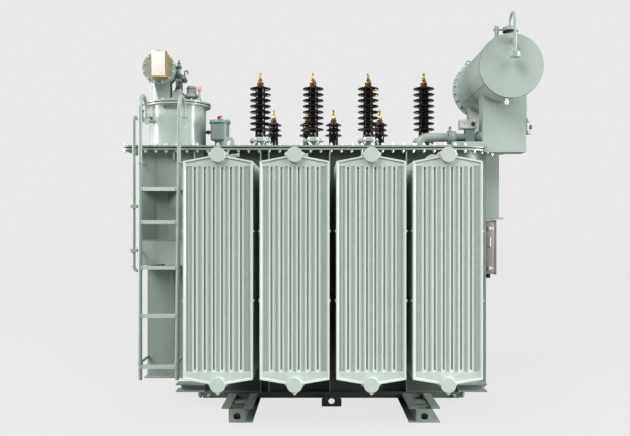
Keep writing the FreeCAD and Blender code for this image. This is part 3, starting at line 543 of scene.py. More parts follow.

# %% Paint the frame's own nodes
# Darker copies of the paint on the tank, walls, end housing, feet, cover, rim and pipes are
# painted shade; the lighter copy on the drum, head and belt is painted light.
NODE_FINISH = {
    "tank_body": PAINT_DEEP_SHADE, "tank_base": PAINT_DEEP_SHADE, "tank_skirt": PAINT_DEEP_SHADE,
    "wall_ribs": PAINT_WALL_SHADE, "pocket_upper": PAINT_WALL_SHADE, "pocket_middle": PAINT_WALL_SHADE,
    "pocket_belt": PAINT_LIT_GLOSS, "pocket_lower": PAINT_WALL_SHADE,
    "conservator_column": PAINT_WALL_SHADE, "feet": PAINT_WALL_SHADE,
    "cover_gasket": SEAL, "hv_insulators": PORCELAIN, "lv_insulators": PORCELAIN,
    "tank_cover": PAINT_SHADED, "tap_changer_head": PAINT_LIT_GLOSS,
    "conservator_shell": PAINT_LIT_GLOSS, "pulling_lugs": PAINT_DEEP_SHADE,
    "tank_rim": PAINT_SHADED, "oil_pipe": PAINT_WALL_SHADE,
    "small_drum_bracket": PAINT_WALL_SHADE, "flow_relay_line": PAINT_SHADED,
    "conservator_back_end": PAINT_SHADED, "conservator_drain": PAINT_SHADED,
    "ladder_rungs": TREAD, "jacking_brackets": PAINT_SHADED,
    "hv_terminals": BRASS, "lv_terminals": BRASS, "small_drum_gauge": WHITE,
    "relief_valve": BLUE_GREY, "relief_valve_pin": RED, "gas_relay": BLUE_GREY,
    "gas_relay_head": ZINC, "terminal_box": STEEL, "terminal_box_door": STEEL,
    "terminal_box_glands": SEAL,
}
for name, node in NODES.items():
    node.data.materials.clear()
    node.data.materials.append(NODE_FINISH.get(name, PAINT))
print("painted", len(NODES), "nodes")

# %% [markdown]
# ## Light, floor and camera
# A pale floor under a dim, even sky.  Two soft suns shine from the upper left and the upper
# right front and keep the paint's tone even while the gaps between radiators stay dark.  A
# tall lamp at each side draws a long highlight down every round fitting.

# %% World and lights
WORLD_LIGHT = 0.15
WORLD_TINT = (0.97, 1.0, 0.99)
BACKDROP = (0.815, 0.815, 0.815)
BOX_SIZE = (1.8, 4.5)


def build_world():
    """A plain sky: one tone to look at, a dimmer one to light with."""
    world = bpy.data.worlds.new("studio")
    bpy.context.scene.world = world
    world.use_nodes = True
    tree = world.node_tree
    backdrop = tree.nodes["Background"]
    backdrop.inputs["Color"].default_value = BACKDROP + (1.0,)
    backdrop.inputs["Strength"].default_value = 1.0
    light = tree.nodes.new("ShaderNodeBackground")
    light.inputs["Color"].default_value = WORLD_TINT + (1.0,)
    light.inputs["Strength"].default_value = WORLD_LIGHT
    path = tree.nodes.new("ShaderNodeLightPath")
    mix = tree.nodes.new("ShaderNodeMixShader")
    tree.links.new(path.outputs["Is Camera Ray"], mix.inputs["Fac"])
    tree.links.new(light.outputs["Background"], mix.inputs[1])
    tree.links.new(backdrop.outputs["Background"], mix.inputs[2])
    tree.links.new(mix.outputs["Shader"], tree.nodes["World Output"].inputs["Surface"])


def sun(name, direction, strength, spread):
    """A soft parallel light along a direction; returns what it gives a level floor."""
    light = bpy.data.lights.new(name, "SUN")
    light.energy = strength
    light.angle = math.radians(spread)
    lamp = bpy.data.objects.new(name, light)
    lamp.rotation_mode = "QUATERNION"
    lamp.rotation_quaternion = Vector(direction).to_track_quat("-Z", "Y")
    bpy.context.scene.collection.objects.link(lamp)
    return strength * -Vector(direction).normalized().z / math.pi


build_world()
floor_light = WORLD_LIGHT
floor_light += sun("left_key", (0.74, 0.78, -0.95), strength=3.0, spread=30)
floor_light += sun("right_key", (-0.80, 0.72, -0.85), strength=1.75, spread=40)


def soft_box(name, place, aim, size, power):
    """A large rectangular lamp that shows as a long highlight on round paint."""
    light = bpy.data.lights.new(name, "AREA")
    light.shape = "RECTANGLE"
    light.size, light.size_y = size
    light.energy = power
    lamp = bpy.data.objects.new(name, light)
    lamp.location = place
    lamp.rotation_mode = "QUATERNION"
    lamp.rotation_quaternion = (Vector(aim) - Vector(place)).to_track_quat("-Z", "Y")
    bpy.context.scene.collection.objects.link(lamp)


soft_box("left_box", (-7.0, -0.6, 2.6), (0, -0.3, 2.2), BOX_SIZE, power=430)
soft_box("right_box", (7.0, -2.2, 2.4), (0, -0.3, 2.0), BOX_SIZE, power=640)
print("light on the floor", round(floor_light, 3))

# %% Floor
FLOOR_RADIUS = 60
FLOOR_DROP = 0.001
FLOOR_SHADE = 0.8
FLOOR_GLOW = 0.93
FLOOR_BOUNCE = (0.16, 0.16, 0.155)


def build_floor():
    """A wide pale disc that melts into the backdrop and shows only a faint shadow."""
    clear()
    bpy.ops.mesh.primitive_circle_add(vertices=64, radius=FLOOR_RADIUS, fill_type="NGON",
                                      location=(0, 0, -FLOOR_DROP))
    floor = bpy.context.object
    floor.name = "studio_floor"
    material = bpy.data.materials.new("pale_floor")
    material.use_nodes = True
    tree = material.node_tree
    shader = tree.nodes["Principled BSDF"]
    tone = FLOOR_SHADE * BACKDROP[0] / floor_light
    shader.inputs["Base Color"].default_value = (tone, tone, tone, 1.0)
    shader.inputs["Roughness"].default_value = 1.0
    shader.inputs["Specular IOR Level"].default_value = 0.0
    glow = tree.nodes.new("ShaderNodeEmission")
    glow.inputs["Color"].default_value = BACKDROP + (1.0,)
    seen = tree.nodes.new("ShaderNodeMixShader")
    seen.inputs["Fac"].default_value = FLOOR_GLOW
    dull = tree.nodes.new("ShaderNodeBsdfDiffuse")
    dull.inputs["Color"].default_value = FLOOR_BOUNCE + (1.0,)
    path = tree.nodes.new("ShaderNodeLightPath")
    split = tree.nodes.new("ShaderNodeMixShader")
    tree.links.new(shader.outputs["BSDF"], seen.inputs[1])
    tree.links.new(glow.outputs["Emission"], seen.inputs[2])
    tree.links.new(path.outputs["Is Camera Ray"], split.inputs["Fac"])
    tree.links.new(dull.outputs["BSDF"], split.inputs[1])
    tree.links.new(seen.outputs["Shader"], split.inputs[2])
    tree.links.new(split.outputs["Shader"], tree.nodes["Material Output"].inputs["Surface"])
    floor.data.materials.append(material)
    return tone


print("floor tone", round(build_floor(), 3))

# %% Camera
EYE = (-0.115, -6.970, 1.525)
LENS_MM = 42.97
IMAGE_WIDTH = 630.0
SHIFT = (-3.0, 10.0)


def build_camera():
    """Eye-level camera square to the long side."""
    data = bpy.data.cameras.new("camera")
    camera = bpy.data.objects.new("camera", data)
    bpy.context.scene.collection.objects.link(camera)
    camera.location = EYE
    camera.rotation_euler = (QUARTER, 0.0, 0.0)
    data.sensor_width = 36.0
    data.lens = LENS_MM
    data.shift_x = SHIFT[0] / IMAGE_WIDTH
    data.shift_y = SHIFT[1] / IMAGE_WIDTH
    data.clip_end = 200.0
    bpy.context.scene.camera = camera
    bpy.context.scene.view_settings.view_transform = "Standard"


build_camera()
print("camera set")

# %% [markdown]
# ## Radiator panels
# Each radiator is a bank of hollow panels.  A panel is two thin sheets, seam-welded round
# the edge and along the grooves, then blown apart so oil can run in seven channels.  The
# sheet is scored, deep grooves are pressed between the channels and finer flutes stiffen
# each channel.  Pressing the strips of one plate makes the real shape, so light catches
# every groove; the panel is then copied along the headers.

# %% Panel sizes, from the bank's own box
BANK_LOW, BANK_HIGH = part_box("radiators_front")
PANEL_W = 0.520
STAY_STANDOFF = 0.008
PANEL_GAP = 0.045
PANEL_COUNT = 17
CAP_R = 0.057
CAP_FRONT = BANK_LOW[1]
PANEL_FRONT = CAP_FRONT + 0.026
SHOULDER_LOW, SHOULDER_HIGH = 0.396, 2.023
APEX_LOW, APEX_HIGH = 0.362, 2.062
HEADER_LOW, HEADER_HIGH = 0.359, 2.070
FIRST_X = BANK_LOW[0] + STAY_STANDOFF + PANEL_W / 2
LAST_X = BANK_HIGH[0] - STAY_STANDOFF - PANEL_W / 2
BANK_XS = [FIRST_X + (LAST_X - FIRST_X) * k / 3 for k in range(4)]
print("banks at", [round(x, 3) for x in BANK_XS], "front", round(PANEL_FRONT, 3))

# %% One pressed panel
GROOVES = (-0.172, -0.098, -0.031, 0.031, 0.098, 0.172)
FLUTES = (-0.236, -0.217, -0.1975, -0.1455, -0.1255, -0.0735, -0.0555, -0.0085,
          0.0085, 0.0555, 0.0735, 0.1255, 0.1455, 0.1975, 0.217, 0.236)
GROOVE_W, FLUTE_W = 0.0285, 0.0078
FLUTE_TOP, FLUTE_LOW = 1.985, 0.452
PLATE_T = 0.012
RIM_W = 0.012
DISH_W, DISH_DEPTH = 0.008, 0.008
BACK_RIM_W, BACK_SLOPE_W, BACK_RISE = 0.018, 0.006, 0.011
GROOVE_SLOPE, GROOVE_STEP = 0.0072, 0.0045
SLOT_SLOPE, SLOT_DEPTH = 0.002, 0.012
FLUTE_SLOPE, FLUTE_DEPTH = 0.0022, 0.0050
GROOVE_END = 0.010
TOP_SLIDE, LOW_SLIDE = -0.010, 0.012


def pressed_panel(name):
    """Panel plate at x = 0 with its front rim in the plane y = 0."""
    half = PANEL_W / 2
    plate = block(name, (-half, 0.0, APEX_LOW), (half, PLATE_T, APEX_HIGH))
    for side in (-1, 1):
        for level, apex in ((SHOULDER_LOW, APEX_LOW), (SHOULDER_HIGH, APEX_HIGH)):
            run, rise = half - CAP_R, level - apex
            out = 1 if apex > level else -1
            normal = Vector((side * abs(rise), 0, out * run)).normalized()
            score(plate, [(side * half, 0, level)], normal, drop_outer=True)
    pick_faces(plate, lambda c, n: n.y < -0.9)
    bpy.ops.mesh.inset(thickness=RIM_W)
    bpy.ops.mesh.inset(thickness=DISH_W, depth=-DISH_DEPTH)
    leave_edit()
    pick_faces(plate, lambda c, n: n.y > 0.9)
    bpy.ops.mesh.inset(thickness=BACK_RIM_W)
    bpy.ops.mesh.inset(thickness=BACK_SLOPE_W, depth=BACK_RISE)
    leave_edit()
    lines = []
    for centres, width in ((GROOVES, GROOVE_W), (FLUTES, FLUTE_W)):
        for centre in centres:
            lines += [(centre - width / 2, 0, 0), (centre + width / 2, 0, 0)]

    def front(c, n):
        return n.y < -0.9 and abs(c.y - DISH_DEPTH) < 0.001

    def groove_floor(c, n):
        return n.y < -0.9 and abs(c.y - DISH_DEPTH - GROOVE_STEP) < 0.0005

    for point in lines:
        pick_faces(plate, front)
        bpy.ops.mesh.bisect(plane_co=point, plane_no=(1, 0, 0))
        leave_edit()
    for level in (FLUTE_TOP, FLUTE_LOW):
        pick_faces(plate, front)
        bpy.ops.mesh.bisect(plane_co=(0, 0, level), plane_no=(0, 0, 1))
        leave_edit()

    def strip(centres, width):
        def test(c, n):
            return (front(c, n) and FLUTE_LOW < c.z < FLUTE_TOP
                    and any(abs(c.x - x) < width / 4 for x in centres))
        return test

    press(plate, strip(GROOVES, GROOVE_W), GROOVE_SLOPE, -GROOVE_STEP)
    press(plate, groove_floor, SLOT_SLOPE, -SLOT_DEPTH)
    press(plate, strip(FLUTES, FLUTE_W), FLUTE_SLOPE, -FLUTE_DEPTH)
    for level, slide in ((FLUTE_TOP - GROOVE_END, TOP_SLIDE),
                         (FLUTE_LOW + GROOVE_END, LOW_SLIDE)):
        only(plate)
        bpy.ops.object.mode_set(mode="EDIT")
        bpy.ops.mesh.select_mode(type="VERT")
        bpy.ops.mesh.select_all(action="DESELECT")
        mesh = bmesh.from_edit_mesh(plate.data)
        for corner in mesh.verts:
            corner.select_set(abs(corner.co.z - level) < 0.001 and 0.022 < corner.co.y < 0.027)
        bmesh.update_edit_mesh(plate.data)
        bpy.ops.transform.translate(value=(0, 0, slide))
        leave_edit()
    tidy_normals(plate)
    return plate


PANEL = pressed_panel("panel_master")
print("panel", len(PANEL.data.polygons), "faces")

# %% Copies along the headers, front and back
def bank_places(back):
    """Where every panel of one long side goes."""
    places = []
    for x in BANK_XS:
        for index in range(PANEL_COUNT):
            y = PANEL_FRONT + index * PANEL_GAP
            place = Matrix.Translation((x, y, 0))
            if back:
                place = Matrix.Scale(-1, 4, (0, 1, 0)) @ place
            places.append(place)
    return places


def panel_rows(name, back):
    """All panels of one side; a mirrored copy has its faces turned out again."""
    base = copy_to(PANEL, Matrix())
    piece = rows(name, base, bank_places(back))
    if back:
        only(piece)
        bpy.ops.object.mode_set(mode="EDIT")
        bpy.ops.mesh.select_all(action="SELECT")
        bpy.ops.mesh.flip_normals()
        leave_edit()
    return piece


# Material slots: painted shade in the grooves, painted highlight on rims, flutes and sills, deep
# painted shade on the inner sides.
GROOVE_SHADE_SLOT, HIGHLIGHT_SLOT, DEEP_SHADE_SLOT = 1, 2, 3
OUTER_X = 1.09
FIRST_PANEL_BACK = 0.034
GROOVE_FROM, GROOVE_DEEP, GROOVE_TO = 0.0115, 0.0175, 0.030
FLUTE_FROM, FLUTE_TO = 0.0095, 0.0112
RIM_SLACK = 0.0005
SILL_FROM, SILL_TOP = 0.010, 0.6


def shade_recesses(piece, sign):
    """Painted shade in the grooves and between the banks, painted highlight on rims, flutes and
    sills.
    """
    for material in (PANEL_GROOVE_SHADE, PANEL_EDGE_HIGHLIGHT, PAINT_DEEP_SHADE):
        piece.data.materials.append(material)
    for face in piece.data.polygons:
        if sign * face.normal.y > 0.3:
            continue
        inner_side = abs(face.normal.x) > 0.6 and abs(face.center.x) < OUTER_X
        depth = (sign * face.center.y - PANEL_FRONT) % PANEL_GAP
        looks_up = face.normal.z > 0.3 and face.center.z < SILL_TOP
        on_rim = depth < RIM_SLACK or depth > PANEL_GAP - RIM_SLACK
        if inner_side and sign * face.center.y > PANEL_FRONT + FIRST_PANEL_BACK:
            face.material_index = DEEP_SHADE_SLOT
        elif SILL_FROM < depth < GROOVE_TO and looks_up:
            face.material_index = HIGHLIGHT_SLOT
        elif GROOVE_FROM < depth < GROOVE_TO:
            face.material_index = GROOVE_SHADE_SLOT if depth < GROOVE_DEEP else DEEP_SHADE_SLOT
        elif on_rim or FLUTE_FROM < depth < FLUTE_TO:
            face.material_index = HIGHLIGHT_SLOT


for title, back, node in (("radiator_panels_front", False, "radiators_front"),
                          ("radiator_panels_back", True, "radiators_back")):
    bank = finish_piece(panel_rows(title, back), PAINT_PANEL, smooth=42,
                        replaces=(node,))
    shade_recesses(bank, -1 if back else 1)
bpy.data.objects.remove(PANEL)

# %% [markdown]
# ### Headers, caps and stays
# Oil enters and leaves through two round headers.  Each is a tube closed by a thick turned
# cap with a weld bead; a vent plug or drain plug sits by it.  Thin bars tie the panel edges.

# %% Header pipes with caps
VALVE_Y = 0.640


def header_set(name):
    """One header: tube, cap and weld bead, along +Y from its cap face at y = 0."""
    length = abs(CAP_FRONT) - VALVE_Y
    cap = lathe(name, [(CAP_R - 0.002, 0.0), (CAP_R, 0.002), (CAP_R, 0.005),
                       (CAP_R, 0.034), (0.047, 0.036), (0.047, 0.042), (0.044, 0.045),
                       (0.044, length)], 48)
    cap.data.transform(Matrix.Rotation(-QUARTER, 4, "X"))
    return cap


def end_place(x, y, z, back):
    """A place at the front, or the same place turned half round to the back."""
    if back:
        return Matrix.Rotation(math.pi, 4, "Z") @ Matrix.Translation((-x, y, z))
    return Matrix.Translation((x, y, z))


def header_places(back):
    """Cap centres of the four banks, top and bottom."""
    return [end_place(x, CAP_FRONT, z, back) for x in BANK_XS
            for z in (HEADER_LOW, HEADER_HIGH)]


finish_piece(rows("radiator_headers", header_set("header"),
                  header_places(False) + header_places(True)),
             PAINT_PANEL, replaces=("radiators_front", "radiators_back"))

# %% Stay bars along the panels' edges
STAY_ZS = (0.983, 1.502)
STAY_T = 0.007
STAY_HALF = 0.008


def stay_bars():
    """Tie bars along the sides of each bank, in front and at the back."""
    parts = []
    depth = (PANEL_COUNT - 1) * PANEL_GAP + PLATE_T
    for x in BANK_XS:
        for side in (-1, 1):
            edge = x + side * (PANEL_W / 2 + 0.001)
            for z in STAY_ZS:
                low = (min(edge, edge + side * STAY_T), PANEL_FRONT, z - STAY_HALF)
                high = (max(edge, edge + side * STAY_T), PANEL_FRONT + depth, z + STAY_HALF)
                parts.append(block("stay", low, high))
                parts.append(block("stay", (low[0], -high[1], low[2]),
                                   (high[0], -low[1], high[2])))
    return soften(fuse("radiator_stays", parts), 0.0015)


finish_piece(stay_bars(), PAINT_PANEL,
             replaces=("radiators_front", "radiators_back"))

# %% [markdown]
# ## Cover bolts
# The cover is clamped on its gasket by a row of bolts right round the rim.  Heads stand on
# the cover and nuts with thread ends hang under the rim, so both rows are made.

# %% Bolt rows round the cover
COVER_LOW, COVER_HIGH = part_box("tank_cover")
RIM_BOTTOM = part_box("tank_rim")[0][2]
COVER_TOP = COVER_HIGH[2]


def cover_outline(inset, right_radius, pitch):
    """Evenly spaced places inside the cover's edge."""
    left, right = COVER_LOW[0] + inset, COVER_HIGH[0] - inset
    depth = COVER_HIGH[1] - inset
    radius = right_radius - inset
    spots = []
    run = right - radius - left
    count = round(run / pitch)
    for k in range(count):
        x = left + run * k / count
        spots += [(x, -depth), (x, depth)]
    arc = round(radius * QUARTER / pitch)
    for k in range(arc + 1):
        angle = QUARTER * k / arc
        x = right - radius + radius * math.sin(angle)
        y = depth - radius + radius * math.cos(angle)
        spots += [(x, -y), (x, y)]
    ends = round(2 * depth / pitch)
    for k in range(1, ends):
        spots.append((left, -depth + 2 * depth * k / ends))
    return spots


def bolt_piece(name, places):
    """Bright bolts at many places, joined into one piece."""
    return finish_piece(rows(name, hex_bolt("bolt"), places), ZINC, smooth=30)


HOUSING_X, HOUSING_HALF = -1.09, 0.49
SPOTS = cover_outline(inset=0.022, right_radius=0.425, pitch=0.088)
OVER = [put(x, y, COVER_TOP) for x, y in SPOTS]
UNDER = [put(x, y, RIM_BOTTOM, math.pi) for x, y in SPOTS
         if not (x < HOUSING_X and abs(y) < HOUSING_HALF)]
bolt_piece("cover_bolts", OVER + UNDER)

# %% [markdown]
# ## Tall bushings
# Glazed porcelain is turned from one blank: a straight core carries eight thin flat sheds
# with rounded rims, which keep rain from bridging the length.  A brown seal and a brass
# cone close the top; lock nuts grip the threaded stud.  The foot is clamped to the turret.

# %% Porcelain profile and tall bushings
def bushing_profile(foot, core, sheds, top, foot_r, step):
    """Turned outline with rounded, nearly flat sheds."""
    points = [(foot_r, foot), (foot_r, step), (core, step + 0.004)]
    for z, radius in sheds:
        points += [(core, z - 0.014), (core + 0.008, z - 0.010), (radius - 0.014, z - 0.008),
                   (radius - 0.004, z - 0.005), (radius, z), (radius - 0.004, z + 0.005),
                   (radius - 0.014, z + 0.008), (core + 0.010, z + 0.013),
                   (core + 0.002, z + 0.016), (core, z + 0.020)]
    return points + [(core, top - 0.004), (core - 0.012, top)]


HV_LOW, HV_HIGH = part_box("hv_insulators")
HV_Y = (HV_LOW[1] + HV_HIGH[1]) / 2
HV_XS = (-0.631, -0.158, 0.335, 0.833)
HV_SHED_FROM, HV_SHED_PITCH, HV_SHED_R = 2.406, 0.052, 0.0948
HV_SHEDS = [(HV_SHED_FROM + HV_SHED_PITCH * k, HV_SHED_R) for k in range(8)]
insulator = lathe("hv", bushing_profile(HV_LOW[2], core=0.043, sheds=HV_SHEDS,
                                        top=HV_HIGH[2], foot_r=0.046, step=2.384), 48)
finish_piece(rows("hv_porcelain", insulator, [put(x, HV_Y, 0) for x in HV_XS]),
             PORCELAIN, smooth=50, replaces=("hv_insulators",))

# %% Terminals: seal, brass cone, lock nuts and stud
def terminal_parts(base, brass, stud, top, seal_r, cone_r):
    """The turned brass, and the brown seal under it, at the origin."""
    seal = lathe("seal", [(seal_r - 0.004, base), (seal_r - 0.001, base + 0.006),
                          (seal_r - 0.001, base + 0.014), (seal_r - 0.004, base + 0.018),
                          (seal_r - 0.001, base + 0.022), (seal_r, brass - 0.006),
                          (seal_r - 0.003, brass)], 32)
    cone = lathe("cone", [(cone_r, brass), (cone_r, brass + 0.010),
                          (cone_r - 0.004, brass + 0.014), (0.014, stud - 0.002),
                          (0.011, stud)], 32)
    thread = lathe("thread", [(0.008, stud), (0.008, top - 0.004), (0.005, top)], 16)
    nuts = [drum("nut", 0.0145, (0, 0, stud + 0.004), (0, 0, stud + 0.014), 6),
            drum("nut", 0.0115, (0, 0, top - 0.026), (0, 0, top - 0.008), 6)]
    screws = []
    for angle in range(0, 360, 90):
        a = math.radians(angle + 45)
        start = (0.018 * math.cos(a), 0.018 * math.sin(a), brass + 0.006)
        end = ((cone_r + 0.003) * math.cos(a), (cone_r + 0.003) * math.sin(a), brass + 0.006)
        screws.append(drum("screw", 0.0045, start, end, 8))
    return seal, fuse("brass", [cone, thread] + nuts + screws)


seal, brass = terminal_parts(base=2.786, brass=2.826, stud=2.859, top=2.914,
                             seal_r=0.030, cone_r=0.026)
PLACES = [put(x, HV_Y, 0) for x in HV_XS]
finish_piece(rows("hv_seals", seal, PLACES), BROWN_SEAL,
             replaces=("hv_terminals",))
finish_piece(rows("hv_brass", brass, PLACES), BRASS, replaces=("hv_terminals",))

# %% Turret clamp bolts and base bolts
CLAMP_R, TURRET_FOOT_R = 0.078, 0.095
CLAMP_TOP, CLAMP_UNDER = 2.309, 2.296
turret_bolts = []
for x in HV_XS:
    turret_bolts += ring((x, HV_Y, CLAMP_TOP), CLAMP_R, 6, scale=1.0)
    turret_bolts += ring((x, HV_Y, CLAMP_UNDER), CLAMP_R, 6, scale=0.9, flip=True)
    turret_bolts += ring((x, HV_Y, COVER_TOP), TURRET_FOOT_R, 6, phase=0.52, scale=0.9)
bolt_piece("turret_bolts", turret_bolts)

# %% [markdown]
# ## Short bushings
# The low-voltage row behind uses the same turned porcelain with three sheds.

# %% Short bushings and their terminals
LV_LOW, LV_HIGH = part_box("lv_insulators")
LV_Y = (LV_LOW[1] + LV_HIGH[1]) / 2
LV_XS = (-0.541, -0.214, 0.034, 0.476)
LV_SHEDS = ((2.411, 0.0818), (2.461, 0.072), (2.510, 0.078))
insulator = lathe("lv", bushing_profile(LV_LOW[2], core=0.0435, sheds=LV_SHEDS,
                                        top=LV_HIGH[2], foot_r=0.047, step=2.282), 40)
PLACES = [put(x, LV_Y, 0) for x in LV_XS]
finish_piece(rows("lv_porcelain", insulator, PLACES), PORCELAIN,
             smooth=50, replaces=("lv_insulators",))
seal, brass = terminal_parts(base=2.534, brass=2.561, stud=2.601, top=2.660,
                             seal_r=0.029, cone_r=0.025)
finish_piece(rows("lv_seals", seal, PLACES), BROWN_SEAL,
             replaces=("lv_terminals",))
finish_piece(rows("lv_brass", brass, PLACES), BRASS, replaces=("lv_terminals",))
LV_SEAT_TOP = 2.244
lv_bolts = []
for x in LV_XS:
    lv_bolts += ring((x, LV_Y, LV_SEAT_TOP), CLAMP_R, 6, scale=0.9)
bolt_piece("lv_bolts", lv_bolts)

# %% [markdown]
# ## Tap changer head
# A wide steel drum with a bolted lid.  The lid's bolts pass through the rim flange, and a
# second circle of bolts holds the drum to the cover.

# %% Lid and base bolts
HEAD_LOW, HEAD_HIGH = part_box("tap_changer_head")
LID_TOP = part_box("tap_changer_lid")[1][2]
HEAD_X = (HEAD_LOW[0] + HEAD_HIGH[0]) / 2
HEAD_Y = (HEAD_LOW[1] + HEAD_HIGH[1]) / 2
RIM_R = (HEAD_HIGH[0] - HEAD_LOW[0]) / 2
head_bolts = ring((HEAD_X, HEAD_Y, LID_TOP), RIM_R - 0.020, 20, scale=0.5)
head_bolts += ring((HEAD_X, HEAD_Y, COVER_TOP + 0.012), RIM_R - 0.022, 24, scale=0.8)
bolt_piece("tap_changer_bolts", head_bolts)

# %% Dark joint between lid and rim flange
joint = lathe("lid_joint", [(RIM_R - 0.006, HEAD_HIGH[2] - 0.004),
                            (RIM_R + 0.0006, HEAD_HIGH[2] - 0.0035),
                            (RIM_R + 0.0006, HEAD_HIGH[2] + 0.0035),
                            (RIM_R - 0.006, HEAD_HIGH[2] + 0.004)], 96)
finish_piece(moved(joint, HEAD_X, HEAD_Y), SEAL)

# %% [markdown]
# ## Small drum, its gauge and thin tubes
# The small oil drum feeds the tap changer.  Its front plate is bolted on a flange; the
# level gauge is a white enamelled box in an anodised bezel with a cap on top.

# %% Front plate bolts
FLANGE_LOW, FLANGE_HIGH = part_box("small_drum_front")
SMALL_X = (FLANGE_LOW[0] + FLANGE_HIGH[0]) / 2
SMALL_Z = (FLANGE_LOW[2] + FLANGE_HIGH[2]) / 2
SMALL_R = (FLANGE_HIGH[0] - FLANGE_LOW[0]) / 2
drum_bolts = ring((SMALL_X, FLANGE_LOW[1], SMALL_Z), SMALL_R - 0.013, 12, axis="Y",
                  phase=0.26, scale=0.6)
drum_bolts += ring((SMALL_X, FLANGE_HIGH[1], SMALL_Z), SMALL_R - 0.007, 12, axis="Y",
                   phase=0.26, scale=0.5, flip=True)
bolt_piece("small_drum_bolts", drum_bolts)

# %% Gauge: white face in a gold bezel
GAUGE_LOW, GAUGE_HIGH = [Vector(corner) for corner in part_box("small_drum_gauge")]


def gauge_case(name):
    """The bezel: a box with its front opened to a tray."""
    case = block(name, GAUGE_LOW, GAUGE_HIGH)
    pick_faces(case, lambda c, n: n.y < -0.9)
    bpy.ops.mesh.inset(thickness=0.007)
    bpy.ops.mesh.inset(thickness=0.001, depth=-0.004)
    leave_edit()
    cap = lathe("cap", [(0.022, 0.0), (0.022, 0.008), (0.014, 0.011)], 24)
    moved(cap, (GAUGE_LOW.x + GAUGE_HIGH.x) / 2 - 0.008, GAUGE_LOW.y + 0.030, GAUGE_HIGH.z)
    return fuse(name, [soften(case, 0.002), cap])


def gauge_face(name):
    """The enamelled face, a little proud of the tray."""
    face = block(name, (GAUGE_LOW.x + 0.003, GAUGE_LOW.y - 0.001, GAUGE_LOW.z + 0.014),
                 (GAUGE_HIGH.x - 0.013, GAUGE_LOW.y + 0.010, GAUGE_HIGH.z - 0.003))
    return soften(face, 0.003, 3)


finish_piece(gauge_case("gauge_bezel"), GOLD, replaces=("small_drum_gauge",))
finish_piece(gauge_face("gauge_face"), WHITE, replaces=("small_drum_gauge",))

# %% Thin tubes under the small drum
def bent_tube(name, points, radius, bend=0.02, sides=12):
    """A round tube along a path with rounded corners, drawn as a bevelled curve."""
    clear()
    curve = bpy.data.curves.new(name, "CURVE")
    curve.dimensions = "3D"
    curve.bevel_depth = radius
    curve.bevel_resolution = max(1, sides // 4)
    curve.use_fill_caps = True
    path = []
    points = [Vector(point) for point in points]
    for index, point in enumerate(points):
        if index in (0, len(points) - 1):
            path.append(point)
            continue
        before = points[index - 1] - point
        after = points[index + 1] - point
        reach = min(bend, before.length * 0.48, after.length * 0.48)
        start = point + before.normalized() * reach
        end = point + after.normalized() * reach
        for k in range(7):
            t = k / 6
            path.append(start.lerp(point, t).lerp(point.lerp(end, t), t))
    spline = curve.splines.new("POLY")
    spline.points.add(len(path) - 1)
    for spot, point in zip(spline.points, path):
        spot.co = (*point, 1.0)
    obj = bpy.data.objects.new(name, curve)
    bpy.context.scene.collection.objects.link(obj)
    only(obj)
    bpy.ops.object.convert(target="MESH")
    return bpy.context.object


TUBE_Y, TUBE_R = -0.262, 0.006
low = SMALL_Z - SMALL_R
tubes = [
    bent_tube("tube", [(-1.625, TUBE_Y, low + 0.03), (-1.612, TUBE_Y, low - 0.02),
                       (-1.600, TUBE_Y, LID_TOP + 0.02)], TUBE_R),
    bent_tube("tube", [(-1.575, TUBE_Y, low + 0.005), (-1.575, TUBE_Y, low - 0.04),
                       (-1.572, TUBE_Y, LID_TOP + 0.02)], TUBE_R),
]
finish_piece(fuse("gauge_tubes", tubes), ZINC)

# %% [markdown]
# ## Conservator drum
# The long drum has a seam-welded shell, a plain front end and a bolted back end.  The vent
# bend hangs in front of it, and gussets stiffen the bracket.

# %% Back flange bolts
BACK_LOW, BACK_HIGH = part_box("conservator_back_end")
DRUM_X = (BACK_LOW[0] + BACK_HIGH[0]) / 2
DRUM_Z = 2.875
DRUM_R = 0.268
BACK_BOLT_R = 0.279
BACK_BOLTS = {"axis": "Y", "phase": 0.13, "scale": 0.72}
back_bolts = ring((DRUM_X, BACK_LOW[1] - 0.016, DRUM_Z), BACK_BOLT_R, 24, **BACK_BOLTS)
back_bolts += ring((DRUM_X, BACK_HIGH[1], DRUM_Z), BACK_BOLT_R, 24, flip=True, **BACK_BOLTS)
bolt_piece("conservator_bolts", [m for m in back_bolts if m.translation.y < 0.42])

# %% Welded seam along the drum and two round seams
SEAM_ANGLE = math.radians(214)
SEAM_FRONT, SEAM_BACK = -0.70, 0.36
ROUND_SEAM_YS = (-0.714, 0.05)
SEAM_R, ROUND_SEAM_R = 0.0045, 0.004


def torus(name, centre, major, minor, turn=(QUARTER, 0, 0), sides=72, wire=8):
    """A round ring of round wire."""
    clear()
    bpy.ops.mesh.primitive_torus_add(location=centre, rotation=turn, major_radius=major,
                                     minor_radius=minor, major_segments=sides,
                                     minor_segments=wire)
    obj = settle(bpy.context.object)
    obj.name = name
    return obj


def drum_seams():
    """Weld beads: one along the shell, one at the front end and one at mid-length."""
    x = DRUM_X + DRUM_R * math.cos(SEAM_ANGLE)
    z = DRUM_Z + DRUM_R * math.sin(SEAM_ANGLE)
    beads = [bent_tube("bead", [(x, SEAM_FRONT, z), (x, SEAM_BACK, z)], SEAM_R, sides=8)]
    for y in ROUND_SEAM_YS:
        beads.append(torus("bead", (DRUM_X, y, DRUM_Z), DRUM_R, ROUND_SEAM_R, sides=64,
                           wire=6))
    return fuse("drum_seams", beads)


finish_piece(drum_seams(), PAINT)

# %% [markdown]
# ## Header flanges, plugs and valve levers
# Behind each cap an oval two-bolt flange joins the header to its elbow.  A vent plug sits
# on the upper header and a pointed drain plug under the lower one.  Each upper header has a
# butterfly valve at the tank wall, worked by a short wedge-shaped lever.

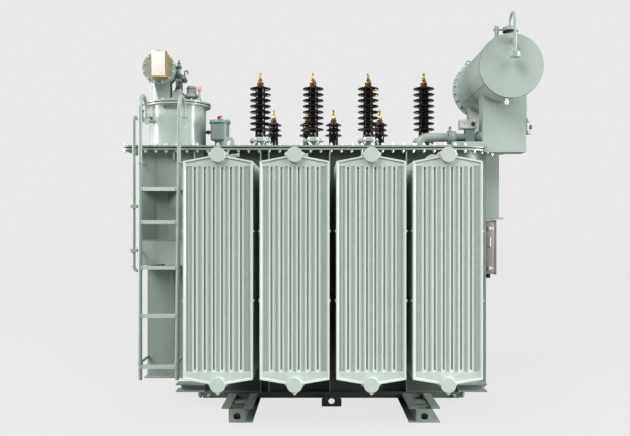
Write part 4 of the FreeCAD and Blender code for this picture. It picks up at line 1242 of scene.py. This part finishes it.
# %% Oval flanges and plugs
def oval_flange(name):
    """Two-bolt flange facing -Y at the origin."""
    plate = block(name, (-0.050, 0.0, -0.024), (0.050, 0.012, 0.024))
    for side in (-1, 1):
        pick_faces(plate, lambda c, n: n.x * side > 0.9)
        bpy.ops.mesh.extrude_region_move(TRANSFORM_OT_translate={"value": (side * 0.025, 0, 0)})
        bpy.ops.transform.resize(value=(1, 1, 0.5), center_override=(0, 0, 0))
        leave_edit()
    soften(plate, 0.002)
    bolts = rows("bolts", hex_bolt("bolt"), [put(x, 0.0, 0.0, QUARTER, 0, 0.8)
                                             for x in (-0.061, 0.061)])
    return fuse(name, [plate, bolts])


def header_fitting_places(offset, level_low, level_high):
    """Matrices for one fitting on all sixteen header ends."""
    places = []
    for x in BANK_XS:
        for z in (level_low, level_high):
            if z is None:
                continue
            places += [end_place(x, CAP_FRONT + offset, z, back) for back in (False, True)]
    return places


finish_piece(rows("header_flanges", oval_flange("flange"),
                  header_fitting_places(0.045, HEADER_LOW + 0.002, HEADER_HIGH + 0.004)),
             PAINT_PANEL)
vent_plug = lathe("plug", [(0.011, -0.004), (0.011, 0.006), (0.007, 0.007), (0.007, 0.010),
                           (0.011, 0.012), (0.011, 0.019), (0.006, 0.022)], 12)
finish_piece(rows("header_vent_plugs", vent_plug,
                  header_fitting_places(0.018, None, HEADER_HIGH + 0.050)), PAINT_SHADED)
drain_plug = lathe("plug", [(0.003, -0.026), (0.010, -0.016), (0.014, -0.014),
                            (0.014, -0.004), (0.010, -0.002), (0.010, 0.004)], 12)
finish_piece(rows("header_drain_plugs", drain_plug,
                  header_fitting_places(0.018, HEADER_LOW - 0.055, None)),
             PAINT_PANEL)

# %% Butterfly valve levers
def lever(name):
    """Boss, tapered arm and lock nut, pointing +X."""
    arm = block(name, (0.0, -0.006, -0.009), (0.058, 0.006, 0.009))
    pick_faces(arm, lambda c, n: n.x > 0.9)
    bpy.ops.transform.resize(value=(1, 1, 1.8), center_override=(0.058, 0, -0.008))
    leave_edit()
    soften(arm, 0.003)
    boss = drum("boss", 0.016, (0, -0.012, 0), (0, 0.030, 0), 20)
    nut = drum("nut", 0.011, (0, -0.022, 0), (0, -0.012, 0), 6)
    return fuse(name, [arm, boss, nut])


LEVER_OUT, LEVER_Y, LEVER_Z = 0.035, -0.705, 2.128
lever_places = []
for x in BANK_XS:
    lever_places += [end_place(x + LEVER_OUT, LEVER_Y, LEVER_Z, False),
                     end_place(x - LEVER_OUT, LEVER_Y, LEVER_Z, True)]
finish_piece(rows("valve_levers", lever("lever"), lever_places), PAINT)

# %% [markdown]
# ## Feet, drain cocks and small welded parts
# Inside each foot, cross plates stiffen the two webs.  Drain cocks stand at both ends of the
# base strip.  The left part of the joint under the end housing's belt stays open, and a thin
# black wedge there is painted shadow in that gap.

# %% Cross plates inside the feet
FOOT_XS = (-0.750, 0.720)
WEB_INSIDE = 0.056


def cross_plates():
    """Stiffeners between the webs of both feet."""
    plates = []
    for x in FOOT_XS:
        for side in (-1, 1):
            for y, thick in ((0.560, 0.010), (0.985, 0.008)):
                low, high = sorted((side * y, side * (y + thick)))
                plates.append(block("plate", (x - WEB_INSIDE, low, 0.002),
                                    (x + WEB_INSIDE, high, 0.117)))
            low, high = sorted((side * 0.790, side * 0.900))
            plates.append(block("plate", (x - WEB_INSIDE, low, 0.100),
                                (x + WEB_INSIDE, high, 0.109)))
    return soften(fuse("foot_cross_plates", plates), 0.001, 1)


# The plates take the darker wall paint, painted shade.
finish_piece(cross_plates(), PAINT_WALL_SHADE)

# %% Drain cocks at the ends of the base strip
def drain_cock(name):
    """Small ball valve hanging from a stub: turned body, hexagon and cap."""
    body = lathe(name, [(0.012, 0.078), (0.014, 0.082), (0.014, 0.092), (0.020, 0.095),
                        (0.020, 0.118), (0.013, 0.122), (0.013, 0.134), (0.010, 0.136)], 20)
    hexagon = drum("hexagon", 0.017, (0, 0, 0.084), (0, 0, 0.094), 6)
    stub = drum("stub", 0.010, (0, 0, 0.106), (-0.030, 0, 0.106), 16)
    handle = block("handle", (-0.004, -0.034, 0.120), (0.004, -0.004, 0.124))
    return fuse(name, [body, hexagon, stub, soften(handle, 0.001)])


finish_piece(rows("drain_cocks", drain_cock("cock"),
                  [Matrix.Translation((1.117, -0.545, 0)),
                   Matrix.Translation((-1.119, -0.545, 0)) @ Matrix.Rotation(math.pi, 4, "Z")]),
             BLUE_GREY)

# %% Painted shadow: a black wedge in the gap under the belt of the end housing
shadow_wedge = block("belt_shadow_wedge", (-1.552, -0.502, 1.203), (-1.432, -0.496, 1.215))
pick_faces(shadow_wedge, lambda c, n: n.x < -0.9)
bpy.ops.transform.resize(value=(1, 1, 0.2), center_override=(-1.552, -0.5, 1.203))
leave_edit()
finish_piece(shadow_wedge, SEAL)

# %% [markdown]
# ## Tap changer fittings
# The head carries a blank marking strip, a drain valve on its pipe, turned rings on the
# domed cover, a pink dust cap on the vent, and the flow relay with its flanged valves.

# %% Marking strip bent round the head
def curved_strip(name, radius, left, right, low, high):
    """Slice of a ring, bent like sheet round the head."""
    strip = drum(name, radius, (HEAD_X, HEAD_Y, low), (HEAD_X, HEAD_Y, high), 96)
    score(strip, [(left, 0, 0)], (-1, 0, 0), drop_outer=True)
    score(strip, [(right, 0, 0)], (1, 0, 0), drop_outer=True)
    score(strip, [(0, HEAD_Y - radius * 0.9, 0)], (0, 1, 0), drop_outer=True)
    return strip


finish_piece(curved_strip("marking_strip", radius=0.2565, left=-1.457, right=-1.347,
                          low=2.573, high=2.599), PAINT_SHADED)
hook = bent_tube("strip_hook", [(-1.464, -0.346, 2.602), (-1.464, -0.366, 2.602),
                                (-1.464, -0.366, 2.578), (-1.456, -0.360, 2.578)], 0.004, 0.008)
finish_piece(hook, SEAL)

# %% Valve at the head end of the drain pipe
valve = lathe("head_valve", [(0.012, 2.486), (0.030, 2.488), (0.030, 2.500), (0.017, 2.502),
                             (0.021, 2.520), (0.021, 2.545), (0.017, 2.560), (0.030, 2.562),
                             (0.030, 2.574), (0.010, 2.576), (0.010, 2.612), (0.024, 2.614),
                             (0.024, 2.622), (0.008, 2.626)], 24)
VALVE_X = -1.684
moved(valve, VALVE_X, -0.285)
arm = block("arm", (VALVE_X, -0.296, 2.520), (-1.640, -0.274, 2.542))
finish_piece(fuse("head_valve", [valve, soften(arm, 0.002)]), PAINT_SHADED)

# %% Rings and bolts of the domed cover, and the vent's cap
DOME_X, DOME_Y = -1.270, -0.100
dome_rings = [lathe("ring", [(r, z), (r + 0.002, z + 0.002), (r + 0.002, z + t - 0.002),
                             (r, z + t)], 36)
              for r, z, t in ((0.058, 2.657, 0.010), (0.075, 2.716, 0.006),
                              (0.045, 2.792, 0.008))]
for one in dome_rings:
    moved(one, DOME_X, DOME_Y)
dome_bolts = rows("bolts", hex_bolt("bolt"), ring((DOME_X, DOME_Y, 2.667), 0.050, 8, scale=0.5))
finish_piece(fuse("dome_rings", dome_rings + [dome_bolts]), PAINT_SHADED)
cap = lathe("vent_cap", [(0.010, 2.770), (0.0175, 2.772), (0.0185, 2.780), (0.0185, 2.802),
                         (0.014, 2.810), (0.006, 2.8115)], 24)
finish_piece(moved(cap, -1.190, -0.160), PINK)

# %% Flow relay flanges, bolts and lever
def flange_pair(name, radius, thick=0.010, gap=0.004):
    """Two bolted flanges with a thin dark joint between them, about Z."""
    half = gap / 2
    pair = lathe(name, [(radius - 0.002, -thick - half), (radius, -thick - half + 0.002),
                        (radius, -half), (radius - 0.006, -half), (radius - 0.006, half),
                        (radius, half), (radius, thick + half - 0.002),
                        (radius - 0.002, thick + half)], 32)
    bolts = ring((0, 0, thick + half), radius - 0.013, 6, scale=0.55)
    bolts += ring((0, 0, -thick - half), radius - 0.013, 6, scale=0.55, flip=True)
    return fuse(name, [pair, rows("bolts", hex_bolt("bolt"), bolts)])


RELAY = (-1.380, -0.125)
relay_parts = [rows("pairs", flange_pair("pair", 0.036, thick=0.007),
                    [put(*RELAY, z) for z in (2.790, 2.905)])]
relay_parts.append(rows("pairs", flange_pair("pair", 0.026, thick=0.006),
                        [put(*RELAY, 2.985), put(RELAY[0] + 0.052, RELAY[1], 2.866)]))
relay_parts.append(drum("knob", 0.013, (-1.366, -0.156, 2.84), (-1.366, -0.186, 2.84), 18))
relay_parts.append(soften(block("lever", (-1.372, -0.190, 2.834), (-1.312, -0.184, 2.846)),
                          0.002))
tip = lathe("tip", [(0.014, 3.008), (0.017, 3.012), (0.017, 3.024), (0.007, 3.030),
                    (0.007, 3.050)], 16)
relay_parts.append(moved(tip, *RELAY))
relay_parts.append(bent_tube("branch", [(-1.328, -0.125, 2.90), (-1.328, -0.125, 2.955),
                                        (-1.300, -0.125, 2.955), (-1.300, -0.125, 2.925)],
                             0.006, 0.012))
# The fittings take the darkest copy of the grey-green paint, painted shade.
finish_piece(fuse("flow_relay_fittings", relay_parts), PAINT_DEEP_SHADE)

# %% [markdown]
# ## Relief valve, gas relay and oil pipe
# Cast fittings are joined by flanges with a visible gasket line and small bolts.

# %% Relief valve: lid bolts, dark neck and cable gland
RELIEF_LOW, RELIEF_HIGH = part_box("relief_valve")
RELIEF_X = (RELIEF_LOW[0] + RELIEF_HIGH[0]) / 2
RELIEF_Y = (RELIEF_LOW[1] + RELIEF_HIGH[1]) / 2
RELIEF_LID_TOP, GLAND_Z = 2.487, 2.380
bolt_piece("relief_valve_bolts",
           ring((RELIEF_X, RELIEF_Y, RELIEF_LID_TOP), 0.086, 8, phase=0.3, scale=0.6)
           + ring((RELIEF_X, RELIEF_Y, COVER_TOP + 0.012), 0.078, 8, scale=0.7))
neck = lathe("relief_valve_neck", [(0.036, 2.262), (0.038, 2.266), (0.038, 2.304),
                                   (0.036, 2.308)], 32)
moved(neck, RELIEF_X, RELIEF_Y)
gland = drum("gland", 0.013, (RELIEF_X - 0.128, RELIEF_Y, GLAND_Z),
             (RELIEF_X - 0.070, RELIEF_Y, GLAND_Z), 20)
nut = drum("nut", 0.019, (RELIEF_X - 0.112, RELIEF_Y, GLAND_Z),
           (RELIEF_X - 0.098, RELIEF_Y, GLAND_Z), 6)
finish_piece(fuse("relief_valve_neck", [neck, gland, nut]), SEAL)

# %% Gas relay: flange bolts, dark base and box screws
OIL_Y, OIL_Z = -0.380, 2.318
relay_bolts = []
for x, heads_left in ((1.074, True), (1.299, False)):
    relay_bolts += ring((x, OIL_Y, OIL_Z), 0.044, 6, axis="X", scale=0.55, flip=heads_left)
HEAD_BOX_LOW, HEAD_BOX_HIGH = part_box("gas_relay_head")
for x in (HEAD_BOX_LOW[0] + 0.014, HEAD_BOX_HIGH[0] - 0.014):
    for z in (HEAD_BOX_LOW[2] + 0.012, HEAD_BOX_HIGH[2] - 0.012):
        relay_bolts.append(put(x, HEAD_BOX_LOW[1], z, QUARTER, 0, 0.5))
bolt_piece("gas_relay_bolts", relay_bolts)
relay_base = soften(block("gas_relay_base", (1.110, -0.440, 2.258), (1.262, -0.330, 2.272)),
                    0.002)
relay_plug = drum("plug", 0.016, (1.232, -0.432, 2.430), (1.232, -0.448, 2.430), 20)
finish_piece(fuse("gas_relay_base", [relay_base, relay_plug]), SEAL)
valve_parts = []
for x in (1.040, 1.330):
    pair = flange_pair("pair", 0.062, thick=0.012)
    pair.data.transform(Matrix.Translation((x, OIL_Y, OIL_Z))
                        @ Matrix.Rotation(QUARTER, 4, "Y"))
    handle = block("lever", (x - 0.006, -0.440, 2.404), (x + 0.006, -0.376, 2.410))
    valve_parts += [pair, drum("spindle", 0.008, (x, OIL_Y, 2.37), (x, OIL_Y, 2.412), 14),
                    drum("nut", 0.014, (x, OIL_Y, 2.392), (x, OIL_Y, 2.402), 6),
                    soften(handle, 0.001)]
finish_piece(fuse("oil_pipe_valves", valve_parts), PAINT_SHADED)
pipe_base = rows("bolts", hex_bolt("bolt"),
                 ring((0.765, -0.380, COVER_TOP + 0.014), 0.056, 6, scale=0.7))
finish_piece(pipe_base, ZINC, smooth=30)

# %% [markdown]
# ## Conservator fittings
# A thin black ring marks the joint of the front end.  Under its lip hangs a bright plug; a lifting
# ring stands on the back flange, a flat bar ties the lug to the vent flange, and the vent
# ends in a dark screen under a pale flange.

# %% Rim, plug, lifting ring and tie bar
finish_piece(torus("front_end_joint", (DRUM_X, -0.7165, DRUM_Z), 0.2675, 0.0030), SEAL)
plug = lathe("drum_plug", [(0.009, 2.552), (0.014, 2.555), (0.014, 2.570), (0.018, 2.572),
                           (0.018, 2.582), (0.010, 2.584), (0.010, 2.614)], 20)
finish_piece(moved(plug, 1.457, -0.700), ZINC)
eye = torus("eye", (1.352, 0.350, 3.122), 0.028, 0.0075)
tie = block("tie", (1.380, -0.654, 3.184), (1.446, -0.644, 3.196))
boss = drum("boss", 0.012, (1.372, -0.660, 3.190), (1.372, -0.640, 3.190), 18)
finish_piece(fuse("lifting_ring", [eye, soften(tie, 0.001), boss]), PAINT_SHADED)

# %% Vent flange bolts, gusset and dark screen
VENT_LOW, VENT_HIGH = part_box("vent_pipe")
VENT_X, VENT_Y = 1.500, -0.650
MOUTH = (VENT_X, VENT_LOW[1] + 0.040)
screen = lathe("vent_screen", [(0.030, VENT_LOW[2] + 0.001), (0.037, VENT_LOW[2] + 0.003),
                               (0.038, VENT_LOW[2] + 0.016), (0.030, VENT_LOW[2] + 0.018)], 32)
moved(screen, *MOUTH)
joint = lathe("joint", [(0.0605, 3.170), (0.0628, 3.171), (0.0628, 3.174), (0.0605, 3.175)], 40)
moved(joint, VENT_X, VENT_Y)
gusset = block("gusset", (1.496, -0.800, 3.052), (1.504, -0.728, 3.104))
finish_piece(fuse("vent_screen", [screen, joint]), SEAL)
finish_piece(fuse("vent_gusset", [soften(gusset, 0.001)]), PAINT_WALL_SHADE)
bolt_piece("vent_bolts",
           ring((VENT_X, VENT_Y, VENT_HIGH[2] - 0.130), 0.052, 6, scale=0.6)
           + ring((*MOUTH, VENT_LOW[2] + 0.030), 0.031, 4, phase=0.78, scale=0.4))

# %% Drain valve at the right of the drum
DRAIN_X, DRAIN_Y, SPINDLE_Z = 1.735, -0.300, 2.42
drain_parts = [rows("pairs", flange_pair("pair", 0.032, thick=0.008),
                    [put(DRAIN_X, DRAIN_Y, z) for z in (2.375, 2.470)])]
drain_parts.append(drum("spindle", 0.006, (DRAIN_X, DRAIN_Y, SPINDLE_Z),
                        (1.772, DRAIN_Y, SPINDLE_Z), 12))
drain_parts.append(torus("wheel", (1.774, DRAIN_Y, SPINDLE_Z), 0.020, 0.004,
                         (0, QUARTER, 0), 28))
finish_piece(fuse("drain_fittings", drain_parts), PAINT_SHADED)

# %% [markdown]
# ## Terminal box and ladder details
# The stainless box has a beige painted side, over-centre latches, a folded drip edge and a
# handle.  The ladder has weld collars where rungs meet the stiles.

# %% Box side, latches and handle
BOX_LOW, BOX_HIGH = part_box("terminal_box")
side = soften(block("box_side", (BOX_LOW[0] + 0.006, BOX_LOW[1] - 0.0035, BOX_LOW[2] + 0.010),
                    (BOX_HIGH[0] - 0.004, BOX_LOW[1] + 0.002, BOX_HIGH[2] - 0.010)), 0.0015)
finish_piece(side, BEIGE)
LATCH_ZS = (1.519, 1.160)
latches = []
for z in LATCH_ZS:
    latch = block("latch", (1.425, -0.176, z - 0.016), (1.450, -0.162, z + 0.016))
    latches.append(soften(latch, 0.002))
    keeper = block("keeper", (1.452, -0.172, z - 0.010), (1.470, -0.162, z + 0.010))
    latches.append(soften(keeper, 0.001))
latches.append(bent_tube("handle", [(1.438, -0.164, 1.440), (1.438, -0.184, 1.440),
                                    (1.438, -0.184, 1.356), (1.438, -0.164, 1.356)],
                         0.005, 0.010))
finish_piece(fuse("box_latches", latches), ZINC)

# %% Weld collars at the rung ends
RUNG_LOW, RUNG_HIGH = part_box("ladder_rungs")
RUNG_Y, COLLAR_R, COLLAR_HALF = -0.650, 0.0205, 0.004
RUNG_ZS = (0.3585, 0.786, 1.191, 1.575, 1.8525)
collars = []
for z in RUNG_ZS:
    for x in (RUNG_LOW[0] - 0.004 + 0.016, RUNG_HIGH[0] - 0.016):
        collars.append(drum("collar", COLLAR_R, (x - COLLAR_HALF, RUNG_Y, z),
                            (x + COLLAR_HALF, RUNG_Y, z), 16))
finish_piece(soften(fuse("rung_collars", collars), 0.0015, 1), PAINT)

# %% [markdown]
# ## Weld seams of the end housing and earth bolts
# The housing is folded sheet welded at its corners, so a fine bead runs down its face; an
# earth bolt with a washer stands at each end of the base strip.

# %% Weld beads on the housing, earth bolts on the base strip
FACE_Y, RECESS_Y = -0.5005, -0.3905
WELDS = (((-1.520, FACE_Y, 1.856), (-1.520, FACE_Y, 2.196)),
         ((-1.634, FACE_Y, 1.855), (-1.110, FACE_Y, 1.855)),
         ((-1.634, FACE_Y, 1.421), (-1.110, FACE_Y, 1.421)),
         ((-1.400, RECESS_Y, 0.225), (-1.400, RECESS_Y, 1.200)))
beads = [bent_tube("bead", weld, 0.003, sides=8) for weld in WELDS]
finish_piece(fuse("housing_welds", beads), PAINT_WALL_SHADE)
EARTH_Y, EARTH_Z = 0.576, 0.099
earth = [put(x, side * EARTH_Y, EARTH_Z, -side * QUARTER, 0, 1.2)
         for side in (-1, 1) for x in (-1.040, 1.040)]
finish_piece(rows("earth_bolts", hex_bolt("bolt"), earth), PAINT_SHADED,
             smooth=30)
